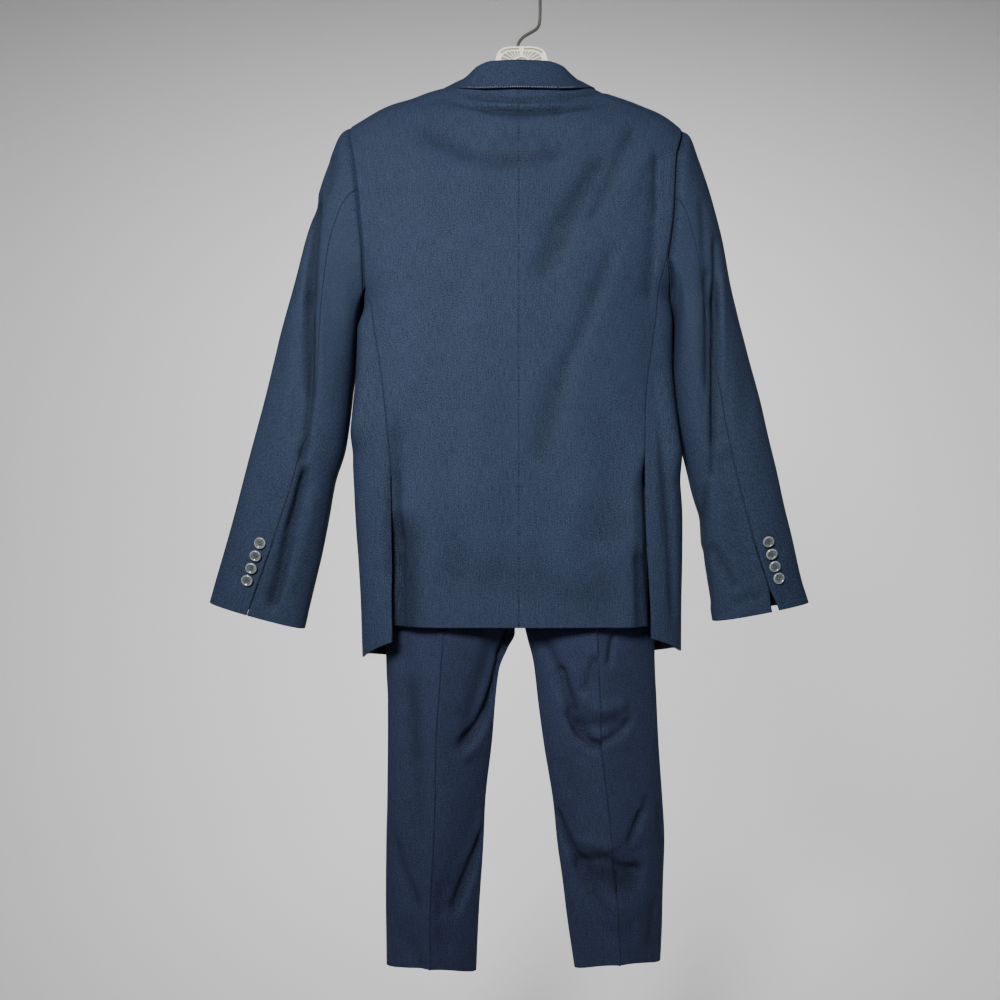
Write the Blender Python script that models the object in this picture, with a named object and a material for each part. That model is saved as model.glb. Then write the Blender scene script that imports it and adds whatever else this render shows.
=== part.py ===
"""A man's two-piece suit on a plastic hanger: jacket, trousers and hanger.

Metres, +Z up. The wearer would face +Y, so the back of the suit faces -Y, and the wearer's right
is +X. The origin is the underside of the hook's crown, where a rod carries the hanger.
Each cloth panel is a wall laid on a form that is worked out from the tables of sections below.
In those tables x is measured outwards from the centre seam, on the left or on the right side.
"""

import math
from collections import namedtuple

import bmesh
import bpy
import numpy as np
from mathutils import Matrix, Vector

# Cloth
JACKET_WALL = 0.0018
TROUSER_WALL = 0.0014
COLLAR_WALL = 0.0016
SEAM_GAP = 0.0004
LAY_GAP = 0.0010

# Jacket heights
BACK_HEM_Z = -0.845
VENT_TOP_Z = -0.660
UNDERARM_Z = -0.430
NECK_Z = -0.152
NECK_X = 0.080
NECK_POWER = 2.6
SHOULDER_ROLL = 0.070
SHOULDER_POWER = 2.2

# Vents and lapped fronts
VENT_UNDERLAP = 0.008
VENT_TUCK = 0.0042
VENT_SPREAD = {"left": 0.0, "right": 0.0065}
FRONT_LAP = 0.018
FRONT_INSET = 0.0036
LAP_START_X = 0.022
LAP_END_X = 0.080

BodySection = namedtuple("BodySection", "z left right back front square_left square_right")
BODY = (
    BodySection(-0.910, 0.2015, 0.2112, 0.062, 0.064, 4.5, 4.5),
    BodySection(-0.843, 0.2042, 0.2115, 0.062, 0.064, 4.5, 4.5),
    BodySection(-0.764, 0.2078, 0.2130, 0.061, 0.063, 4.5, 4.5),
    BodySection(-0.711, 0.2120, 0.2135, 0.060, 0.062, 4.5, 4.2),
    BodySection(-0.672, 0.2145, 0.2118, 0.059, 0.062, 4.2, 4.0),
    BodySection(-0.639, 0.2160, 0.2085, 0.058, 0.062, 4.0, 3.6),
    BodySection(-0.600, 0.2160, 0.2030, 0.058, 0.062, 4.0, 3.2),
    BodySection(-0.566, 0.2130, 0.1980, 0.058, 0.062, 3.8, 2.8),
    BodySection(-0.527, 0.2070, 0.1945, 0.059, 0.063, 3.6, 2.5),
    BodySection(-0.470, 0.2035, 0.1955, 0.060, 0.064, 3.5, 2.4),
    BodySection(-0.430, 0.2015, 0.1985, 0.060, 0.065, 3.5, 2.4),
    BodySection(-0.400, 0.2120, 0.2120, 0.060, 0.065, 3.5, 2.6),
    BodySection(-0.350, 0.2350, 0.2350, 0.059, 0.064, 3.5, 3.0),
    BodySection(-0.300, 0.2450, 0.2450, 0.057, 0.062, 3.5, 3.3),
    BodySection(-0.240, 0.2500, 0.2500, 0.053, 0.058, 3.5, 3.5),
    BodySection(-0.190, 0.2500, 0.2500, 0.047, 0.051, 3.5, 3.5),
    BodySection(-0.150, 0.2500, 0.2500, 0.0405, 0.044, 3.5, 3.5),
    BodySection(-0.115, 0.2500, 0.2500, 0.0365, 0.040, 3.5, 3.5),
)

ShoulderPoint = namedtuple("ShoulderPoint", "x left right")
SHOULDER = (
    ShoulderPoint(0.000, -0.1190, -0.1190),
    ShoulderPoint(0.040, -0.1270, -0.1270),
    ShoulderPoint(0.080, -0.1410, -0.1414),
    ShoulderPoint(0.093, -0.1444, -0.1450),
    ShoulderPoint(0.117, -0.1515, -0.1528),
    ShoulderPoint(0.138, -0.1584, -0.1602),
    ShoulderPoint(0.160, -0.1650, -0.1683),
    ShoulderPoint(0.179, -0.1733, -0.1760),
    ShoulderPoint(0.1935, -0.1812, -0.1842),
    ShoulderPoint(0.207, -0.1892, -0.1940),
    ShoulderPoint(0.2185, -0.1962, -0.2030),
    ShoulderPoint(0.240, -0.2120, -0.2200),
)

# The side seam of the back from the hem up, and above it the armhole
SideEdge = namedtuple("SideEdge", "z left right")
BACK_EDGE = (
    SideEdge(-0.8450, 0.1594, 0.1590),
    SideEdge(-0.7600, 0.1613, 0.1580),
    SideEdge(-0.6790, 0.1625, 0.1588),
    SideEdge(-0.6350, 0.1628, 0.1594),
    SideEdge(-0.6090, 0.1650, 0.1603),
    SideEdge(-0.5715, 0.1688, 0.1616),
    SideEdge(-0.5400, 0.1726, 0.1643),
    SideEdge(-0.5020, 0.1776, 0.1694),
    SideEdge(-0.4640, 0.1840, 0.1744),
    SideEdge(-0.4400, 0.1880, 0.1774),
    SideEdge(-0.4130, 0.1970, 0.1812),
    SideEdge(-0.3770, 0.1975, 0.1890),
    SideEdge(-0.3160, 0.2019, 0.1963),
    SideEdge(-0.2800, 0.2057, 0.1980),
    SideEdge(-0.2480, 0.2102, 0.2001),
    SideEdge(-0.2200, 0.2165, 0.2085),
    SideEdge(-0.1950, 0.2185, 0.2145),
)
FRONT_EDGE = (
    SideEdge(-0.8930, 0.1880, 0.1900),
    SideEdge(-0.6600, 0.1880, 0.1880),
    SideEdge(-0.5270, 0.1830, 0.1760),
    SideEdge(-0.4200, 0.1910, 0.1850),
    SideEdge(-0.3700, 0.1920, 0.1880),
    SideEdge(-0.3000, 0.1950, 0.1920),
    SideEdge(-0.2400, 0.2050, 0.2010),
    SideEdge(-0.1950, 0.2185, 0.2145),
)

# Heights of a panel's rows where they cross an edge: hem, vent top, meeting with the armhole, top
SeamLevels = namedtuple("SeamLevels", "hem vent join top")
ROW_STOPS = (0.0, 0.5, 1.0, 2.0)
BACK_CENTRE = SeamLevels(BACK_HEM_Z, VENT_TOP_Z, -0.400, NECK_Z)
BACK_LEVELS = {
    "left": SeamLevels(BACK_HEM_Z, VENT_TOP_Z, -0.415, -0.1962),
    "right": SeamLevels(BACK_HEM_Z, VENT_TOP_Z, -0.3773, -0.1995),
}
SIDE_BACK_LEVELS = {
    "left": BACK_LEVELS["left"]._replace(hem=-0.8635),
    "right": BACK_LEVELS["right"]._replace(hem=-0.8590),
}
SIDE_MIDDLE_HEM = {"left": -0.886, "right": -0.879}
FRONT_LEVELS = {
    "left": SeamLevels(-0.8960, VENT_TOP_Z, -0.420, -0.1962),
    "right": SeamLevels(-0.8910, VENT_TOP_Z, -0.420, -0.1995),
}
FRONT_CENTRE = SeamLevels(-0.908, VENT_TOP_Z, -0.430, -0.1405)

# Free edge of a front: cut away at the hem, straight at the buttons, then the lapel's roll line
EdgePoint = namedtuple("EdgePoint", "z x")
FRONT_FREE_EDGE = (
    EdgePoint(-0.908, 0.120),
    EdgePoint(-0.902, 0.092),
    EdgePoint(-0.885, 0.063),
    EdgePoint(-0.850, 0.034),
    EdgePoint(-0.790, 0.010),
    EdgePoint(-0.700, -0.010),
    EdgePoint(-0.600, -FRONT_LAP),
    EdgePoint(-0.500, -FRONT_LAP),
    EdgePoint(-0.440, 0.000),
    EdgePoint(-0.1405, NECK_X),
)

LAPEL_LOW_Z = {"left": -0.448, "right": -0.425}
LAPEL_GORGE_Z = -0.186
LAPEL_NOTCH_Z = -0.232
LAPEL_ROLL_LIFT = 0.0030
LAPEL_END = 0.006
LAPEL_OUTER = (
    EdgePoint(-0.448, 0.004),
    EdgePoint(-0.400, 0.046),
    EdgePoint(-0.340, 0.081),
    EdgePoint(-0.280, 0.105),
    EdgePoint(-0.232, 0.122),
)

# Collar, one row for each section from the centre back to the front end.
# face is -1 on the back and 1 on the front; a lift is the distance off the body's form
CollarSection = namedtuple(
    "CollarSection",
    "along face base_x base_z base_lift roll_x roll_z roll_lift fall_x fall_z fall_lift right_shift",
)
COLLAR = (
    CollarSection(0.00, -1, 0.000, -0.1508, -0.0005, 0.000, -0.1228, 0.0005, 0.000, -0.1606, 0.0065, 0.0),
    CollarSection(0.22, -1, 0.036, -0.1488, -0.0005, 0.033, -0.1228, 0.0010, 0.040, -0.1604, 0.0065, 0.0020),
    CollarSection(0.40, -1, 0.062, -0.1446, -0.0005, 0.053, -0.1262, 0.0020, 0.068, -0.1565, 0.0060, 0.0042),
    CollarSection(0.54, -1, 0.0785, -0.1385, 0.0000, 0.068, -0.1312, 0.0010, 0.0915, -0.1455, 0.0060, 0.0045),
    CollarSection(0.64, 1, 0.0785, -0.1390, 0.0020, 0.0725, -0.1324, 0.0050, 0.1000, -0.1410, 0.0060, 0.0030),
    CollarSection(0.78, 1, 0.0755, -0.1530, 0.0060, 0.0745, -0.1480, 0.0090, 0.1060, -0.1640, 0.0060, 0.0010),
    CollarSection(1.00, 1, 0.0690, -0.1830, 0.0050, 0.0680, -0.1790, 0.0080, 0.1060, -0.2080, 0.0050, 0.0),
)
COLLAR_FOLD_RADIUS = 0.0026

SleeveSection = namedtuple("SleeveSection", "along outer_x outer_z inner_x inner_z depth")
SLEEVE = {
    "left": (
        SleeveSection(0.00, 0.2185, -0.1962, 0.2015, -0.4300, 0.0470),
        SleeveSection(0.04, 0.2305, -0.2045, 0.2040, -0.4400, 0.0475),
        SleeveSection(0.10, 0.2455, -0.2370, 0.2065, -0.4550, 0.0470),
        SleeveSection(0.18, 0.2635, -0.2900, 0.2105, -0.4900, 0.0460),
        SleeveSection(0.26, 0.2785, -0.3430, 0.2145, -0.5300, 0.0445),
        SleeveSection(0.34, 0.2915, -0.3950, 0.2190, -0.5700, 0.0430),
        SleeveSection(0.46, 0.3135, -0.4740, 0.2265, -0.6200, 0.0405),
        SleeveSection(0.58, 0.3330, -0.5530, 0.2400, -0.6640, 0.0375),
        SleeveSection(0.70, 0.3545, -0.6320, 0.2485, -0.7120, 0.0345),
        SleeveSection(0.82, 0.3755, -0.7110, 0.2590, -0.7650, 0.0310),
        SleeveSection(0.94, 0.3980, -0.7900, 0.2730, -0.8240, 0.0265),
        SleeveSection(1.00, 0.4060, -0.8190, 0.2800, -0.8540, 0.0245),
    ),
    "right": (
        SleeveSection(0.00, 0.2145, -0.1995, 0.1985, -0.4300, 0.0470),
        SleeveSection(0.04, 0.2245, -0.2075, 0.2025, -0.4400, 0.0475),
        SleeveSection(0.10, 0.2355, -0.2370, 0.2045, -0.4550, 0.0470),
        SleeveSection(0.18, 0.2525, -0.2900, 0.2035, -0.4900, 0.0460),
        SleeveSection(0.26, 0.2665, -0.3430, 0.2025, -0.5270, 0.0445),
        SleeveSection(0.34, 0.2765, -0.3950, 0.2060, -0.5680, 0.0430),
        SleeveSection(0.46, 0.2965, -0.4740, 0.2140, -0.6150, 0.0405),
        SleeveSection(0.58, 0.3170, -0.5530, 0.2255, -0.6640, 0.0375),
        SleeveSection(0.70, 0.3360, -0.6320, 0.2345, -0.7100, 0.0345),
        SleeveSection(0.82, 0.3550, -0.7110, 0.2425, -0.7650, 0.0310),
        SleeveSection(0.94, 0.3740, -0.7900, 0.2505, -0.8180, 0.0265),
        SleeveSection(1.00, 0.3825, -0.8190, 0.2550, -0.8440, 0.0245),
    ),
}
SLEEVE_SQUARE = 2.3
SLEEVE_HEAD_EASE = 0.30
FORE_SEAM_SHARE = 0.86

# Hind seam: the share of the sleeve's width, from its outer edge, at which it lies on the back
SeamShare = namedtuple("SeamShare", "along share")
HIND_SEAM = {
    "left": (
        SeamShare(0.00, 0.40), SeamShare(0.14, 0.37), SeamShare(0.26, 0.45), SeamShare(0.50, 0.61),
        SeamShare(0.66, 0.58), SeamShare(0.81, 0.52), SeamShare(1.00, 0.437),
    ),
    "right": (
        SeamShare(0.00, 0.445), SeamShare(0.18, 0.45), SeamShare(0.42, 0.472), SeamShare(0.60, 0.52),
        SeamShare(0.81, 0.475), SeamShare(0.94, 0.406), SeamShare(1.00, 0.395),
    ),
}
ARM_STOPS = np.array([0, 0.14, 0.29, 0.43, 0.57, 0.70, 0.82, 0.91, 0.965, 0.99, 1.0])
HIND_SEAM_STOP = {"left": 4, "right": 3}
FORE_SEAM_STOP = 1
CUFF_SLIT_FROM = 0.925
CUFF_SLIT_SHARE = {"left": 0.004, "right": 0.032}

ButtonPlace = namedtuple("ButtonPlace", "along share")
CUFF_BUTTONS = {
    "left": (
        ButtonPlace(0.833, 0.398), ButtonPlace(0.860, 0.388),
        ButtonPlace(0.887, 0.377), ButtonPlace(0.914, 0.367),
    ),
    "right": (
        ButtonPlace(0.835, 0.335), ButtonPlace(0.862, 0.326),
        ButtonPlace(0.889, 0.317), ButtonPlace(0.917, 0.296),
    ),
}
CUFF_BUTTON_DIAMETER = 0.0150
FRONT_BUTTON_DIAMETER = 0.0200
BUTTON_THICKNESS = 0.0030
BUTTON_RIM = 0.0020
BUTTON_DISH = 0.0010
BUTTON_SIDES = 20
WAIST_BUTTON_X = 0.012
FRONT_BUTTON_ZS = (-0.500, -0.600)

FLAP_IN_X = 0.062
FLAP_OUT_X = 0.180
FLAP_TOP_Z = -0.640
FLAP_HEIGHT = 0.052
WELT_IN_X = 0.098
WELT_OUT_X = 0.172
WELT_TOP_Z = -0.338
WELT_HEIGHT = 0.023
WELT_SLANT = 0.008
FLAP_LIFT = 0.0006

# Trousers
WAIST_TOP_Z = -0.300
WAISTBAND_Z = -0.338
LegSection = namedtuple("LegSection", "z outer crease inner back front inner_depth")
LEG = {
    "left": (
        LegSection(-1.305, 0.1745, 0.1130, 0.0545, 0.036, 0.033, 0.000),
        LegSection(-1.230, 0.1745, 0.1140, 0.0510, 0.038, 0.034, 0.000),
        LegSection(-1.133, 0.1739, 0.1100, 0.0449, 0.041, 0.036, 0.000),
        LegSection(-1.080, 0.1728, 0.1078, 0.0422, 0.042, 0.037, 0.000),
        LegSection(-1.001, 0.1726, 0.1066, 0.0335, 0.043, 0.038, 0.000),
        LegSection(-0.948, 0.1726, 0.1036, 0.0291, 0.044, 0.038, 0.000),
        LegSection(-0.908, 0.1740, 0.1007, 0.0240, 0.045, 0.038, 0.000),
        LegSection(-0.880, 0.1745, 0.0990, 0.0130, 0.045, 0.038, 0.000),
        LegSection(-0.860, 0.1750, 0.0980, 0.0035, 0.045, 0.038, 0.000),
        LegSection(-0.700, 0.1800, 0.0960, 0.0018, 0.044, 0.038, 0.000),
        LegSection(-0.600, 0.1840, 0.0960, 0.0016, 0.042, 0.036, 0.000),
        LegSection(-0.556, 0.1860, 0.0960, 0.0010, 0.040, 0.034, 0.002),
        LegSection(-0.535, 0.1870, 0.0960, 0.0000, 0.038, 0.033, 0.018),
        LegSection(-0.490, 0.1880, 0.0970, 0.0000, 0.034, 0.029, 0.028),
        LegSection(-0.400, 0.1870, 0.0980, 0.0000, 0.020, 0.017, 0.017),
        LegSection(-0.338, 0.1850, 0.0980, 0.0000, 0.0095, 0.0095, 0.0095),
    ),
    "right": (
        LegSection(-1.305, 0.1870, 0.1310, 0.0740, 0.036, 0.033, 0.000),
        LegSection(-1.238, 0.1908, 0.1270, 0.0644, 0.038, 0.034, 0.000),
        LegSection(-1.185, 0.1921, 0.1237, 0.0578, 0.040, 0.035, 0.000),
        LegSection(-1.133, 0.1935, 0.1180, 0.0499, 0.041, 0.036, 0.000),
        LegSection(-1.080, 0.1908, 0.1130, 0.0447, 0.042, 0.037, 0.000),
        LegSection(-1.001, 0.1856, 0.1045, 0.0328, 0.043, 0.038, 0.000),
        LegSection(-0.948, 0.1829, 0.1020, 0.0249, 0.044, 0.038, 0.000),
        LegSection(-0.896, 0.1803, 0.1000, 0.0183, 0.045, 0.038, 0.000),
        LegSection(-0.866, 0.1800, 0.0990, 0.0110, 0.045, 0.038, 0.000),
        LegSection(-0.840, 0.1800, 0.0980, 0.0060, 0.045, 0.038, 0.000),
        LegSection(-0.700, 0.1820, 0.0960, 0.0018, 0.044, 0.038, 0.000),
        LegSection(-0.600, 0.1850, 0.0960, 0.0016, 0.042, 0.036, 0.000),
        LegSection(-0.556, 0.1865, 0.0960, 0.0010, 0.040, 0.034, 0.002),
        LegSection(-0.535, 0.1870, 0.0960, 0.0000, 0.038, 0.033, 0.018),
        LegSection(-0.490, 0.1880, 0.0970, 0.0000, 0.034, 0.029, 0.028),
        LegSection(-0.400, 0.1870, 0.0980, 0.0000, 0.020, 0.017, 0.017),
        LegSection(-0.338, 0.1850, 0.0980, 0.0000, 0.0095, 0.0095, 0.0095),
    ),
}
LEG_HEM = {"left": (-1.2956, -1.2860, -1.3030), "right": (-1.2900, -1.2800, -1.2990)}
CREASE_POWER = 1.12
EDGE_POWER = 1.75
WAIST_SQUARE = 3.5

# Broad folds that shape the cloth: a soft trough from one point to another
Fold = namedtuple("Fold", "x z to_x to_z half_width depth")
BACK_FOLDS = (
    Fold(-0.120, -0.172, 0.110, -0.176, 0.010, 0.0025),
    Fold(-0.100, -0.232, 0.090, -0.236, 0.020, 0.0025),
    Fold(0.150, -0.215, 0.040, -0.350, 0.016, 0.0025),
    Fold(0.176, -0.260, 0.168, -0.420, 0.010, 0.0035),
)
SLEEVE_FOLDS = {
    "left": (
        Fold(-0.262, -0.330, -0.284, -0.600, 0.011, 0.0035),
        Fold(-0.272, -0.665, -0.318, -0.810, 0.010, 0.0030),
    ),
    "right": (
        Fold(0.245, -0.400, 0.262, -0.600, 0.010, 0.0030),
        Fold(0.262, -0.640, 0.300, -0.780, 0.012, 0.0025),
    ),
}
LEG_FOLDS = {
    "left": (
        Fold(-0.032, -0.865, -0.062, -0.965, 0.010, 0.0050),
        Fold(-0.145, -0.880, -0.138, -1.260, 0.012, 0.0035),
        Fold(-0.052, -1.090, -0.094, -1.205, 0.012, 0.0035),
    ),
    "right": (
        Fold(0.054, -0.920, 0.082, -0.975, 0.010, 0.0045),
        Fold(0.082, -0.975, 0.124, -0.972, 0.010, 0.0045),
        Fold(0.054, -1.088, 0.082, -1.160, 0.011, 0.0035),
        Fold(0.096, -1.142, 0.156, -1.136, 0.010, 0.0025),
    ),
}

# Hanger: a round frame, a crest with a fan of ribs, a wire hook and two clips on the bar
HANGER_X = 0.0045
FRAME_RADIUS = 0.0055
FRAME_CLEARANCE = 0.0013
FRAME_HALF_WIDTH = 0.192
FRAME_CORNER = (0.2000, -0.2040, 0.008)
BAR_CORNER = (0.1780, -0.2860, 0.018)
ARM_TOP_Z = -0.132
ARM_POINTS = 12
CORNER_STEPS = 4
CREST_HALF_WIDTH = 0.0352
CREST_FOOT_Z = -0.1350
CREST_TOP_Z = -0.0885
CREST_POWER = 4.5
CREST_THICKNESS = 0.0032
CREST_RIM = 0.0020
CREST_SLOT = 0.0024
CREST_INNER_RIM = 0.0064
CREST_POST = 0.0066
FAN_Z = -0.1131
FAN_RADIUS = 0.0123
FAN_HOLE_RADIUS = 0.0105
FAN_HOLE_SIDES = 28
FAN_WINDOWS = 6
FAN_FIRST_DEGREES = 14.0
FAN_LAST_DEGREES = 84.0
SLOT_TURN = 0.62
SLOT_STEPS = 8
RAY_STEPS = 40
RIB_WIDTH = 0.0012
WIRE_RADIUS = 0.0021
HOOK_RADIUS = 0.0290
HOOK_SWEEP_DEGREES = 176.0
HookPoint = namedtuple("HookPoint", "x z")
HOOK_STEM = (
    HookPoint(-0.0005, -0.0882),
    HookPoint(-0.0003, -0.0855),
    HookPoint(0.0022, -0.0805),
    HookPoint(0.0080, -0.0745),
    HookPoint(0.0180, -0.0690),
    HookPoint(0.0255, -0.0645),
    HookPoint(0.0285, -0.0570),
    HookPoint(0.0290, -0.0420),
)
CLIP_XS = {"left": -0.140, "right": 0.140}
CLIP_WIDTH = 0.030
CLIP_HALF_GRIP = 0.0091
CLIP_WALL = 0.0030
CLIP_FOOT_Z = -0.328
CLIP_NECK_Z = -0.297
CLIP_BAR_GAP = 0.0004

# Rows and columns of the walls
LOW_ROWS = np.linspace(0, 1, 13)
SHOULDER_COLUMNS = 7
NECK_COLUMNS = 4
SIDE_COLUMNS = 6
SLEEVE_ROWS = np.array(
    [0, 0.035, 0.075, 0.12, 0.18, 0.25, 0.33, 0.42, 0.51, 0.60, 0.69, 0.78, 0.86, 0.93, 1.0]
)
COLLAR_ROWS = np.array([0, 0.18, 0.35, 0.40, 0.45, 0.50, 0.55, 0.70, 0.85, 1.0])
LEG_COLUMNS = np.array([0, 0.03, 0.10, 0.22, 0.37, 0.5, 0.63, 0.78, 0.90, 0.97, 1.0])
LEG_ROWS = np.linspace(0, 1, 21)
WAIST_COLUMNS = np.array([0, 0.12, 0.26, 0.38, 0.45, 0.5, 0.55, 0.62, 0.74, 0.88, 1.0])

COLOURS = {
    "jacket": (0.028, 0.043, 0.088, 0.85, 0.0),
    "trousers": (0.020, 0.030, 0.062, 0.85, 0.0),
    "horn": (0.030, 0.030, 0.034, 0.25, 0.0),
    "plastic": (0.80, 0.79, 0.70, 0.40, 0.0),
    "steel": (0.50, 0.50, 0.50, 0.30, 1.0),
}
SIDES = {"left": -1.0, "right": 1.0}
STEP = 1e-4


# ---------------------------------------------------------------- small mathematics

def along_table(table, key, value, at):
    """A smooth curve through a table's rows that never overshoots them."""
    rows = sorted(table, key=lambda row: getattr(row, key))
    places = np.array([getattr(row, key) for row in rows])
    values = np.array([getattr(row, value) for row in rows])
    run = np.diff(places)
    slope = np.diff(values) / run
    tangent = np.concatenate([slope[:1], np.zeros(len(rows) - 2), slope[-1:]])
    product = slope[:-1] * slope[1:]
    total = slope[:-1] + slope[1:]
    rising = product > 0
    tangent[1:-1][rising] = 2 * product[rising] / total[rising]
    index = np.clip(np.searchsorted(places, at) - 1, 0, len(rows) - 2)
    t = np.clip((at - places[index]) / run[index], 0, 1)
    start = (1 + 2 * t) * (1 - t) ** 2 * values[index]
    end = t * t * (3 - 2 * t) * values[index + 1]
    leaving = t * (1 - t) ** 2 * tangent[index]
    arriving = t * t * (t - 1) * tangent[index + 1]
    return start + end + run[index] * (leaving + arriving)


def ramp(value, low, high):
    """0 at low, 1 at high, eased at both ends."""
    t = np.clip((value - low) / (high - low), 0, 1)
    return t * t * (3 - 2 * t)


def mix(a, b, share):
    return a + (b - a) * share


def signed_power(value, power):
    return np.sign(value) * np.abs(value) ** power


def levels_at(levels, row):
    return np.interp(row, ROW_STOPS, levels)


def fold_depth(folds, x, z):
    """How far the folds push the cloth in at each place, for x and z of the whole suit."""
    pushed = np.zeros(np.broadcast(x, z).shape)
    for fold in folds:
        run = np.array([fold.to_x - fold.x, fold.to_z - fold.z])
        share = ((x - fold.x) * run[0] + (z - fold.z) * run[1]) / (run @ run)
        share = np.clip(share, 0, 1)
        away = np.hypot(x - fold.x - share * run[0], z - fold.z - share * run[1])
        pushed = pushed + fold.depth * np.exp(-((away / fold.half_width) ** 2))
    return pushed


# ---------------------------------------------------------------- the jacket's form

def body_size(side, z):
    half = along_table(BODY, "z", side, z)
    square = along_table(BODY, "z", "square_" + side, z)
    return half, square


def shoulder_z(side, x):
    return along_table(SHOULDER, "x", side, x)


def neck_or_shoulder_z(side, x):
    neck_point = shoulder_z(side, np.array([NECK_X]))[0]
    neck = mix(NECK_Z, neck_point, np.clip(x / NECK_X, 0, 1) ** NECK_POWER)
    return np.where(x < NECK_X, neck, shoulder_z(side, x))


def body_depth(side, face, x, z):
    """Distance of the form from the middle plane, before (face 1) or behind (face -1)."""
    half, square = body_size(side, z)
    depth = along_table(BODY, "z", "front" if face > 0 else "back", z)
    rise = np.clip((shoulder_z(side, np.abs(x)) - z) / SHOULDER_ROLL, 0, 1)
    closing = (1 - (1 - rise) ** SHOULDER_POWER) ** (1 / SHOULDER_POWER)
    rounding = (1 - np.clip(np.abs(x) / half, 0, 1) ** square) ** (1 / square)
    return depth * closing * rounding


def back_form(side, across, row):
    """Back panel: across 0 at the centre seam, 1 at the side; row 0 hem, 1 armhole, 2 shoulder."""
    edge_z = levels_at(BACK_LEVELS[side], row)
    centre_z = levels_at(BACK_CENTRE, row)
    edge_x = along_table(BACK_EDGE, "z", side, edge_z)
    vented = ramp(VENT_TOP_Z - edge_z, 0, 0.02)
    x = across * (edge_x + VENT_UNDERLAP * vented)
    z = mix(centre_z, edge_z, across)
    top_x = across * along_table(BACK_EDGE, "z", side, np.array([BACK_LEVELS[side].top]))[0]
    above = np.clip(row - 1, 0, 1) ** 2
    straight_top = mix(BACK_CENTRE.top, BACK_LEVELS[side].top, across)
    z = z + above * (neck_or_shoulder_z(side, top_x) - straight_top)
    depth = body_depth(side, -1, x, z)
    tuck = VENT_TUCK * ramp(VENT_TOP_Z + 0.02 - z, 0, 0.025) * ramp(x, edge_x - 0.016, edge_x - 0.003)
    signed_x = SIDES[side] * x
    folded = fold_depth(BACK_FOLDS, signed_x, z) * ramp(depth, 0.01, 0.03) * ramp(1 - across, 0, 0.12)
    return signed_x, -(depth - tuck - folded), z


def front_form(side, across, row):
    """Front panel: across 0 at the free edge, 1 at the side; rows as on the back."""
    edge_z = levels_at(FRONT_LEVELS[side], row)
    free_z = levels_at(FRONT_CENTRE, row)
    edge_x = along_table(FRONT_EDGE, "z", side, edge_z)
    free_x = along_table(FRONT_FREE_EDGE, "z", "x", free_z)
    x = mix(free_x, edge_x, across)
    z = mix(free_z, edge_z, across)
    tip_x = along_table(FRONT_EDGE, "z", side, np.array([FRONT_LEVELS[side].top]))[0]
    top_x = mix(NECK_X, tip_x, across)
    above = np.clip(row - 1, 0, 1) ** 2
    straight_top = mix(FRONT_CENTRE.top, FRONT_LEVELS[side].top, across)
    z = z + above * (shoulder_z(side, top_x) - straight_top)
    return SIDES[side] * x, front_y(side, x, z), z


def front_y(side, x, z):
    """How far forward the front lies; the right one is set in where the left one laps over it."""
    depth = body_depth(side, 1, x, z)
    if side == "right":
        depth = depth - FRONT_INSET * ramp(-x, -LAP_END_X, -LAP_START_X)
    return depth


def side_form(side, across, row):
    """Side panel: across 0 at the back's seam, 1 at the front's; row 1 is the armhole's foot."""
    back_z = levels_at(SIDE_BACK_LEVELS[side], row)
    front_z = levels_at(FRONT_LEVELS[side], row)
    middle = np.sin(np.pi * across)
    hem_drop = SIDE_MIDDLE_HEM[side] - mix(SIDE_BACK_LEVELS[side].hem, FRONT_LEVELS[side].hem, 0.5)
    top_drop = UNDERARM_Z - mix(SIDE_BACK_LEVELS[side].join, FRONT_LEVELS[side].join, 0.5)
    z = mix(back_z, front_z, across)
    z = z + middle * (hem_drop * ramp(0.3 - row, 0, 0.3) + top_drop * ramp(row, 0.7, 1.0))
    back_x = along_table(BACK_EDGE, "z", side, back_z)
    back_x = back_x + VENT_SPREAD[side] * ramp(VENT_TOP_Z - back_z, 0, VENT_TOP_Z - BACK_HEM_Z)
    front_x = along_table(FRONT_EDGE, "z", side, front_z)
    start = seam_angle(side, back_x, back_z)
    end = math.pi - seam_angle(side, front_x, front_z)
    angle = mix(start, end, across)
    half, square = body_size(side, z)
    depth = np.where(
        angle < math.pi / 2,
        along_table(BODY, "z", "back", z),
        along_table(BODY, "z", "front", z),
    )
    x = half * np.abs(np.sin(angle)) ** (2 / square)
    y = -depth * signed_power(np.cos(angle), 2 / square)
    return SIDES[side] * x, y, z


def seam_angle(side, x, z):
    half, square = body_size(side, z)
    return np.arcsin(np.clip(x / half, 0, 1) ** (square / 2))


# ---------------------------------------------------------------- the sleeves' form

def armhole_form(side, place):
    """The armhole's loop: 0 shoulder, 0 to 1 down the back, 1 to 2 under the arm, 2 to 3 up."""
    place = np.mod(place, 3.0)
    one = np.ones_like(place)
    back = back_form(side, one, np.clip(2 - place, 1, 2))
    under = side_form(side, np.clip(place - 1, 0, 1), one)
    front = front_form(side, one, np.clip(place - 1, 1, 2))
    on_back = place < 1
    on_front = place > 2
    return [
        np.where(on_back, b, np.where(on_front, f, u)) for b, u, f in zip(back, under, front)
    ]


def share_angle(share):
    """Angle round the sleeve, from its outer edge over the back, at this share of its width."""
    return np.arccos(np.clip(signed_power(1 - 2 * share, SLEEVE_SQUARE / 2), -1, 1))


def height_angle(side, place):
    """Angle at which the sleeve's head, seen from the side, reaches the armhole's height here."""
    top = armhole_form(side, np.zeros(1))[2][0]
    z = armhole_form(side, place)[2]
    return share_angle(np.clip((top - z) / (top - SLEEVE[side][0].inner_z), 0, 1))


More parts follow.
